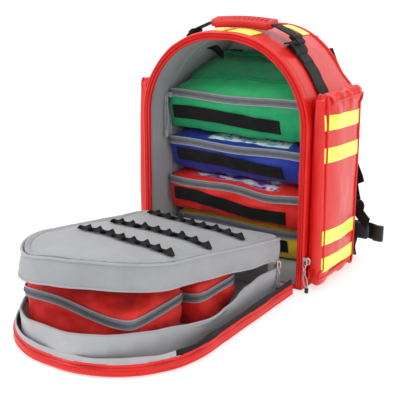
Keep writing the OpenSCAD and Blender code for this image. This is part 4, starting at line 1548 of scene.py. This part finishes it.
def buildCover():
    top = 90
    bm = archBlock(trayShape, cover["near"] + 1, 1.6, (top - 7.5, top - 1), True)
    dice(bm, 10, "xy")
    seamFrames = archFrames(trayShape, cover["near"] + 10, 11, 7, True)
    low = trayLow

    def inset(co):
        half, radius = trayShape["half"], trayShape["radius"]
        x, z = abs(co.x - trayShape["middle"]), lidSum - co.y
        shoulder = trayShape["top"] - radius
        if z > shoulder and x > half - radius:
            return radius - math.hypot(x - (half - radius), z - shoulder)
        return min(half - x, trayShape["top"] - z, z - cover["near"])

    held = lambda co: inset(co) < 5 or co.z < top - 6.5
    bm = inflate(bm, 5, 3.0, 7, held, 14, 7.0)
    refine(bm)
    for vert in bm.verts:
        if vert.co.z > top - 4:
            away = inset(vert.co)
            groove = math.exp(-((away - 12) / 2.2) ** 2)
            vert.co.z -= 1.8 * groove
            vert.co.z += 2.2 * max(0.0, 1 - ((away - 5) / 5) ** 2)
            near = math.exp(-((lidSum - vert.co.y - cover["near"]) / 55) ** 2)
            vert.co.z += 4.0 * near * min(1.0, away / 12)
            dip = math.exp(-((vert.co.x - 10) / 90) ** 2) * math.exp(-((vert.co.y + 300) / 110) ** 2)
            vert.co.z -= 2.0 * dip
    rumple(bm, 1.6, 60, 41.0)
    rumple(bm, 0.5, 16, 44.0)
    for vert in bm.verts:
        vert.co.z = min(vert.co.z, top + 8)
        coverSpread(vert.co)
    surface = treeOf(bm)
    bmesh.ops.transform(bm, matrix=propTurn, verts=bm.verts)
    addPiece("coverPad", bm, "coverCloth", nodes=["cover_panel"], bend=coverBend, sharp=60)

    # the skirt hangs from the pad's edge, with piping above and below
    bm = bmesh.new()
    frames = archFrames(trayShape, cover["near"], 0.4, 5, True)
    rows = 8
    deep = top - 5 - cover["skirtLow"]
    section = [(0.7, cover["skirtLow"] + deep * k / rows) for k in range(rows + 1)]
    section += [(-0.9, cover["skirtLow"] + deep * k / rows) for k in range(rows, -1, -1)]
    sweep(bm, frames, section)
    for vert in bm.verts:
        share = 1 - (vert.co.z - cover["skirtLow"]) / deep
        away, wave = skirtWave(vert.co)
        fold = noise.noise(Vector((vert.co.x / 15, vert.co.y / 15, 2.0))) * 1.0
        dart = math.exp(-((vert.co.x - low.x - 30) / 14) ** 2) * math.exp(-((vert.co.y - low.y - 60) / 30) ** 2)
        tuck = dart * 5 * math.sin(math.pi * min(1.0, share + 0.15))
        vert.co += away * (share * (wave + fold + 1.5) + math.sin(math.pi * share) * 1.6 - tuck)
        coverSpread(vert.co)
    run, tall, area = flatSize(bm, frames, 1.04)
    bmesh.ops.transform(bm, matrix=propTurn, verts=bm.verts)
    skirt = addPiece("coverSkirt", bm, "coverCloth", nodes=["cover_skirt", "cover_band"], bend=coverBend)
    min(area, run * tall)

    bm = bmesh.new()
    for z, inset_, radius, wave in ((top - 4.2, -0.4, 2.0, 0), (cover["skirtLow"], -0.2, 1.7, 1)):
        part = bmesh.new()
        sweep(part, archFrames(trayShape, cover["near"], inset_, 5, True), ringProfile(radius, 8, 0, z))
        for vert in part.verts:
            away, lean = skirtWave(vert.co)
            vert.co += away * (lean + 1.5) * wave
            coverSpread(vert.co)
        merge(bm, part)
    part = bmesh.new()                                       # the seam of the pad's border
    seam = [item.translation + Vector((0, 0, 90)) for item in seamFrames]
    line = []
    for spot in seam:
        spot = coverSpread(spot.copy())
        hit = surface.ray_cast(spot + Vector((0, 0, 60)), (0, 0, -1))[0]
        if hit is not None:
            line.append(hit + Vector((0, 0, 0.1)))
    frames = framesOn(line, (0, 0, 1))
    sweep(part, frames, ringProfile(0.9, 6))
    studs(part, everyStep(frames, 5), (0.6, 0.5, 3.2), (-2.6, 0.5, 0))
    merge(bm, part)
    bmesh.ops.transform(bm, matrix=propTurn, verts=bm.verts)
    addPiece("coverPiping", bm, "light", nodes=["cover_piping"], bend=coverBend)

    # the tape along the hinge, and the fabric web under it
    line = flow([(trayShape["middle"] - 118, coverAxis.y + 0.5, coverAxis.z + 2.0),
                 (trayShape["middle"], coverAxis.y + 1.2, coverAxis.z + 3.5),
                 (trayShape["middle"] + 118, coverAxis.y + 0.5, coverAxis.z + 2.0)], 8)
    bm = bmesh.new()
    sweep(bm, framesOn(line, (0, 0.8, 0.6)), band(16, 2.6, 4, 0.8))
    studs(bm, everyStep(framesOn(line, (0, 0.8, 0.6)), 5), (0.6, 0.5, 3.2), (4.5, 1.8, 0))
    addPiece("coverTape", bm, "coverCloth", nodes=["cover_tape"], bend=("lid", "cover_base", (
        0, (coverAxis.y + 4) * mm, 0), (0, (coverAxis.y - 6) * mm, 0)))
    bm = softBlock((trayShape["middle"] - 118, coverAxis.y - 1.0, 6),
                   (trayShape["middle"] + 118, coverAxis.y + 1.0, coverAxis.z + 2), 0.8, 1)
    dice(bm, 9, "xz")
    for vert in bm.verts:
        vert.co.y += 1.6 * math.sin(math.pi * (vert.co.z - 6) / 80)
    rumple(bm, 1.6, 30, 17.0)
    addPiece("hingeWall", bm, "lining", "lid")
    return surface


def buildLoops(surface):
    # elastic sewn down at intervals, so that each stretch stands up as a loop
    rows = dict(loops_back=(41, 77, -101, 109, 8), loops_middle=(158, 171, -89, 107, 8),
                loops_front=(242, 266, -84, 104, 8))
    for node, (leftAway, away, x0, x1, count) in rows.items():
        bm = bmesh.new()
        points, tilt = [], []
        steps = 10
        for k in range(count * steps + 1):
            t = k / steps
            x = x0 + (x1 - x0) * t / count
            y = coverAxis.y - leftAway - (away - leftAway) * t / count
            wave = math.sin(math.pi * (t % 1.0))
            spot = Vector((x + 3.2 * math.sin(2 * math.pi * t), y + 1.6 * math.sin(2.1 * t + away), 0))
            hit = surface.ray_cast(spot + Vector((0, 0, 200)), (0, 0, -1))[0]
            base = hit.z if hit is not None else 90
            points.append(Vector((spot.x, spot.y, base + 0.8 + 6.0 * wave ** 0.6)))
            tilt.append(Vector((0, 0.55 * math.sin(2 * math.pi * t + 0.8), 1)))
        out = []
        for k, spot in enumerate(points):
            before, after = points[max(0, k - 1)], points[min(len(points) - 1, k + 1)]
            along = (after - before).normalized()
            up = Vector((0, 1, 0)).cross(along)
            up = -up if up.z < 0 else up
            out.append((up + Vector((0, tilt[k].y, 0))).normalized())
        frames = framesOn(points, out)
        sweep(bm, frames, band(15, 1.4, 4))
        for k in range(count + 1):
            index = min(len(frames) - 2, max(1, k * steps))
            spot = points[index]
            for j in range(5):
                studs(bm, [Matrix.Translation(spot + Vector((0, -5.5 + 2.75 * j, 0.9)))], (0.9, 2.0, 0.6), coat=1)
        bmesh.ops.transform(bm, matrix=propTurn, verts=bm.verts)
        addPiece("elastic" + node.split("_")[1].title(), bm, ["elastic", "plastic"], "cover", [node])


coverSurface = buildCover()
buildLoops(coverSurface)
print("cover ready")

harness = dict(top=(60, 114, 380), across=95, down=280, bow=22, pad=60, split=0.38)
strapLean = math.atan2(harness["across"], harness["down"])
strapLength = math.hypot(harness["across"], harness["down"])


def strapSpot(t, lift=0.0, side=0.0):
    # t from the lower anchor to the upper one, lift away from the back, side across the strap
    bowed = 6 + harness["bow"] * math.sin(math.pi * t)
    x, z = harness["top"][0] + harness["across"], harness["top"][2] - harness["down"]
    run = t * strapLength
    return Vector((x - run * math.sin(strapLean) + side * math.cos(strapLean), harness["top"][1] + bowed + lift,
                   z + run * math.cos(strapLean) + side * math.sin(strapLean)))


def strapFrames(t0, t1, lift, count=40):
    line = [strapSpot(t0 + (t1 - t0) * k / count, lift) for k in range(count + 1)]
    out = []
    for k, spot in enumerate(line):
        along = (line[min(k + 1, count)] - line[max(0, k - 1)]).normalized()
        across = Vector((math.cos(strapLean), 0, math.sin(strapLean)))
        way = across.cross(along)
        out.append(way if way.y > 0 else -way)
    return framesOn(line, out)


def ladderLock(place, wide=32, tall=22):
    # a moulded adjuster: two rails and three bars
    parts = []
    for side in (-1, 1):
        parts.append(softBlock((side * wide / 2 - 2.2, -2.6, -tall / 2),
                               (side * wide / 2 + 2.2, 2.6, tall / 2), 1.2, 2))
    for z in (-tall / 2 + 1.8, 1.0, tall / 2 - 1.8):
        parts.append(softBlock((-wide / 2, -1.9, z - 1.9), (wide / 2, 1.9, z + 1.9), 1.0, 2))
    bm = joined(parts)
    bmesh.ops.transform(bm, matrix=place, verts=bm.verts)
    return bm


def buildHarness():
    for side, word in ((1, "right"), (-1, "left")):
        # the padded part: soft foam between bound edges
        frames = strapFrames(harness["split"], 0.95, 6.0)
        half = harness["pad"] / 2
        section = [(-half, 0), (-half + 2, 4.0), (-half + 9, 6.0), (-half / 3, 6.6), (half / 3, 6.6), (half - 9, 6.0),
                   (half - 2, 4.0), (half, 0), (half - 2, -4.0), (half - 10, -5.4), (half / 3, -6.0),
                   (-half / 3, -6.0), (-half + 10, -5.4), (-half + 2, -4.0)]
        pad = bmesh.new()
        sweep(pad, frames, section)
        rumple(pad, 1.4, 26, 3.0 + side)
        rumple(pad, 0.5, 9, 5.0 + side)
        trims = bmesh.new()
        for lane in (-half + 0.6, half - 0.6):
            sweep(trims, frames, ringProfile(2.3, 8, lane, 0))
        sweep(trims, frames[2:-1], band(webWide, 1.6, 4))
        web = strapFrames(harness["split"] + 0.02, 0.94, 13.4)
        sweep(trims, web, band(webWide, 1.6, 4))
        stitch(trims, web, 10, 1.0)
        for t in (0.55, 0.75, 0.93):                         # cross tapes that hold the webbing
            cross = [strapSpot(t, 14.6, side_) for side_ in (-17, -6, 6, 17)]
            sweep(trims, framesOn(cross, (0, 1, 0.1)), band(14, 1.4, 3))
        if side < 0:
            mirror(pad, trims)
        addPiece("shoulderPad" + word.title(), pad, "pad", word + "_strap", ["shoulder_" + word])

        lower = strapFrames(0.0, harness["split"] + 0.02, 2.0)
        webs = bmesh.new()
        sweep(webs, lower, band(webWide, 2.0, 4))
        tail = flow([strapSpot(0.36, 6.5), strapSpot(0.30, 9.0, 3), strapSpot(0.22, 5.5, 6), strapSpot(0.14, 7.0, 10),
                     strapSpot(0.10, 4.5, 12)], 5)
        sweep(webs, framesOn(tail, (0, 1, 0)), band(webWide, 1.6, 4))
        stitch(webs, lower, 10, 1.2)
        end = strapSpot(0.03, -1.0)
        loop = flow([end + Vector((0, -6, 6)), end + Vector((0, 3, 3)), end + Vector((0, 4, -6)),
                     end + Vector((0, -5, -7))], 3)
        sweep(webs, framesOn(loop, (0, 0.3, 1)), band(webWide, 1.8, 4))
        lock = ladderLock(strapFrames(harness["split"] - 0.03, harness["split"] + 0.04, 5.5, 4)[2])
        for face in lock.faces:
            face.material_index = 1
        webs = joined([webs, lock])
        if side < 0:
            mirror(webs)
        addPiece("shoulderTrim" + word.title(), trims, ["webbing", "plastic"], word + "_strap")
        addPiece("lowerWeb" + word.title(), webs, ["webbing", "plastic"], word + "_strap", ["webbing_" + word])

        # hip wing: padded, with its belt webbing and buckle end
        low, high = span("hip_" + word)
        x0, x1 = (min(abs(low.x), abs(high.x)), max(abs(low.x), abs(high.x)))
        bm = softBlock((x0 + 1, low.y + 2.5, low.z + 1.5), (x1 - 26, high.y - 2.0, high.z - 1.5), 4, 3)
        for vert in bm.verts:
            t = max(0.0, (vert.co.x - x0 - 30) / (x1 - x0 - 56))
            middle = (low.z + high.z) / 2
            vert.co.z = middle + (vert.co.z - middle) * (1 - 0.38 * t)
        held = lambda co: co.x < x0 + 4
        bm = inflate(bm, 4, 3.5, 4, held, 12)
        refine(bm)
        rumple(bm, 0.9, 18, 2.0)
        trims = bmesh.new()
        middle = (low.z + high.z) / 2
        line = flow([(x0 + 20, high.y + 0.8, middle), (x0 + 50, high.y + 1.4, middle + 1),
                     (x1 - 30, high.y + 0.6, middle + 1), (x1 - 6, high.y - 3, middle - 2)], 6)
        frames = framesOn(line, (0, 1, 0))
        sweep(trims, frames, band(30, 1.8, 4))
        stitch(trims, frames, 12, 1.1)
        clip = softBlock((x1 - 20, high.y - 6.5, middle - 16), (x1 - 1, high.y + 2.5, middle + 14), 2.4, 3)
        for face in clip.faces:
            face.material_index = 1
        trims = joined([trims, clip])
        if side < 0:
            mirror(bm, trims)
        addPiece("hipPad" + word.title(), bm, "pad", word + "_hip", ["hip_" + word])
        addPiece("hipBelt" + word.title(), trims, ["webbing", "plastic"], word + "_hip")

    # sewn triangles at the strap's lower anchors, the yoke bar at the top and hanging belt ends
    bm = bmesh.new()
    webs = bmesh.new()
    for side in (-1, 1):
        part = bmesh.new()
        points = [(halfWidth - 46, backY + 0.3, 82), (halfWidth + 2, backY + 0.3, 76),
                  (halfWidth + 2, backY + 0.3, 122)]
        face = part.faces.new([part.verts.new(p) for p in points])
        thicken(part, [face], (0, 3.8, 0))
        bmesh.ops.bevel(part, geom=part.edges[:], offset=1.2, segments=2, profile=0.5, affect="EDGES", material=-1)
        dice(part, 8, "xz")
        bar = softBlock((harness["top"][0] - 18, backY, 383), (harness["top"][0] + 18, backY + 4.5, 399), 1.6, 2)
        part = joined([part, bar])
        web = bmesh.new()
        line = flow([(halfWidth + 6, backY - 8, 112), (halfWidth + 12, backY + 2, 104), (halfWidth + 8, backY + 7, 90),
                     (halfWidth + 20, backY + 4, 78), (halfWidth + 34, backY - 4, 70)], 4)
        sweep(web, framesOn(line, (0.3, 1, 0.2)), band(webWide, 1.8, 4))
        line = flow([(halfWidth + 4, backY - 1, 66), (halfWidth + 9, backY + 3, 46), (halfWidth + 6, backY + 2, 24),
                     (halfWidth + 11, backY - 2, 6)], 4)
        sweep(web, framesOn(line, (1, 0.6, 0)), band(27, 2.2, 4))
        if side < 0:
            mirror(part, web)
        merge(bm, part)
        merge(webs, web)
    addPiece("strapTabs", bm, "tarpaulin", "pack", ["strap_tabs"])
    addPiece("beltEnds", webs, "webbing", "pack")


buildHarness()
print("harness ready")


def buildStage():
    bm = bmesh.new()
    bmesh.ops.create_grid(bm, x_segments=2, y_segments=2, size=1)
    bmesh.ops.scale(bm, vec=(9, 9, 1), verts=bm.verts)
    mesh = bpy.data.meshes.new("floor")
    bm.to_mesh(mesh)
    bm.free()
    ground = Coat("paleFloor")
    cloud = ground.cloud(ground.place(), 900, 2)
    ground.feed(ground.shader.inputs["Emission Strength"], 0.62)
    ground.feed(ground.shader.inputs["Emission Color"], (1, 1, 1, 1))
    paint = ground.tint(cloud, (0.42, 0.42, 0.42), (0.46, 0.46, 0.46))
    mesh.materials.append(ground.surface(paint, cloud * 0.1 + 0.6))
    floor = bpy.data.objects.new("floor", mesh)
    bpy.context.scene.collection.objects.link(floor)

    world = bpy.data.worlds.new("studio")
    world.use_nodes = True
    world.node_tree.nodes["Background"].inputs["Color"].default_value = (1, 1, 1, 1)
    world.node_tree.nodes["Background"].inputs["Strength"].default_value = lights["sky"]
    bpy.context.scene.world = world
    target = Vector((0, -0.15, 0.18))
    for name, (place, size, power) in lights["lamps"].items():
        lamp = bpy.data.lights.new(name, "AREA")
        lamp.shape = "RECTANGLE"
        lamp.size, lamp.size_y = size
        lamp.energy = power
        holder = bpy.data.objects.new(name, lamp)
        holder.location = place
        holder.rotation_euler = (target - Vector(place)).to_track_quat("-Z", "Y").to_euler()
        bpy.context.scene.collection.objects.link(holder)
    bpy.context.scene.view_settings.view_transform = "Standard"
    bpy.context.scene.view_settings.look = "None"


lights = dict(sky=1.0, lamps=dict(
    key=((-1.4, -1.9, 2.2), (1.2, 1.2), 26),
    side=((2.4, -0.6, 1.3), (0.5, 1.8), 8),
    top=((0.2, 0.4, 2.6), (1.6, 1.6), 12)))
buildStage()
print("light ready")
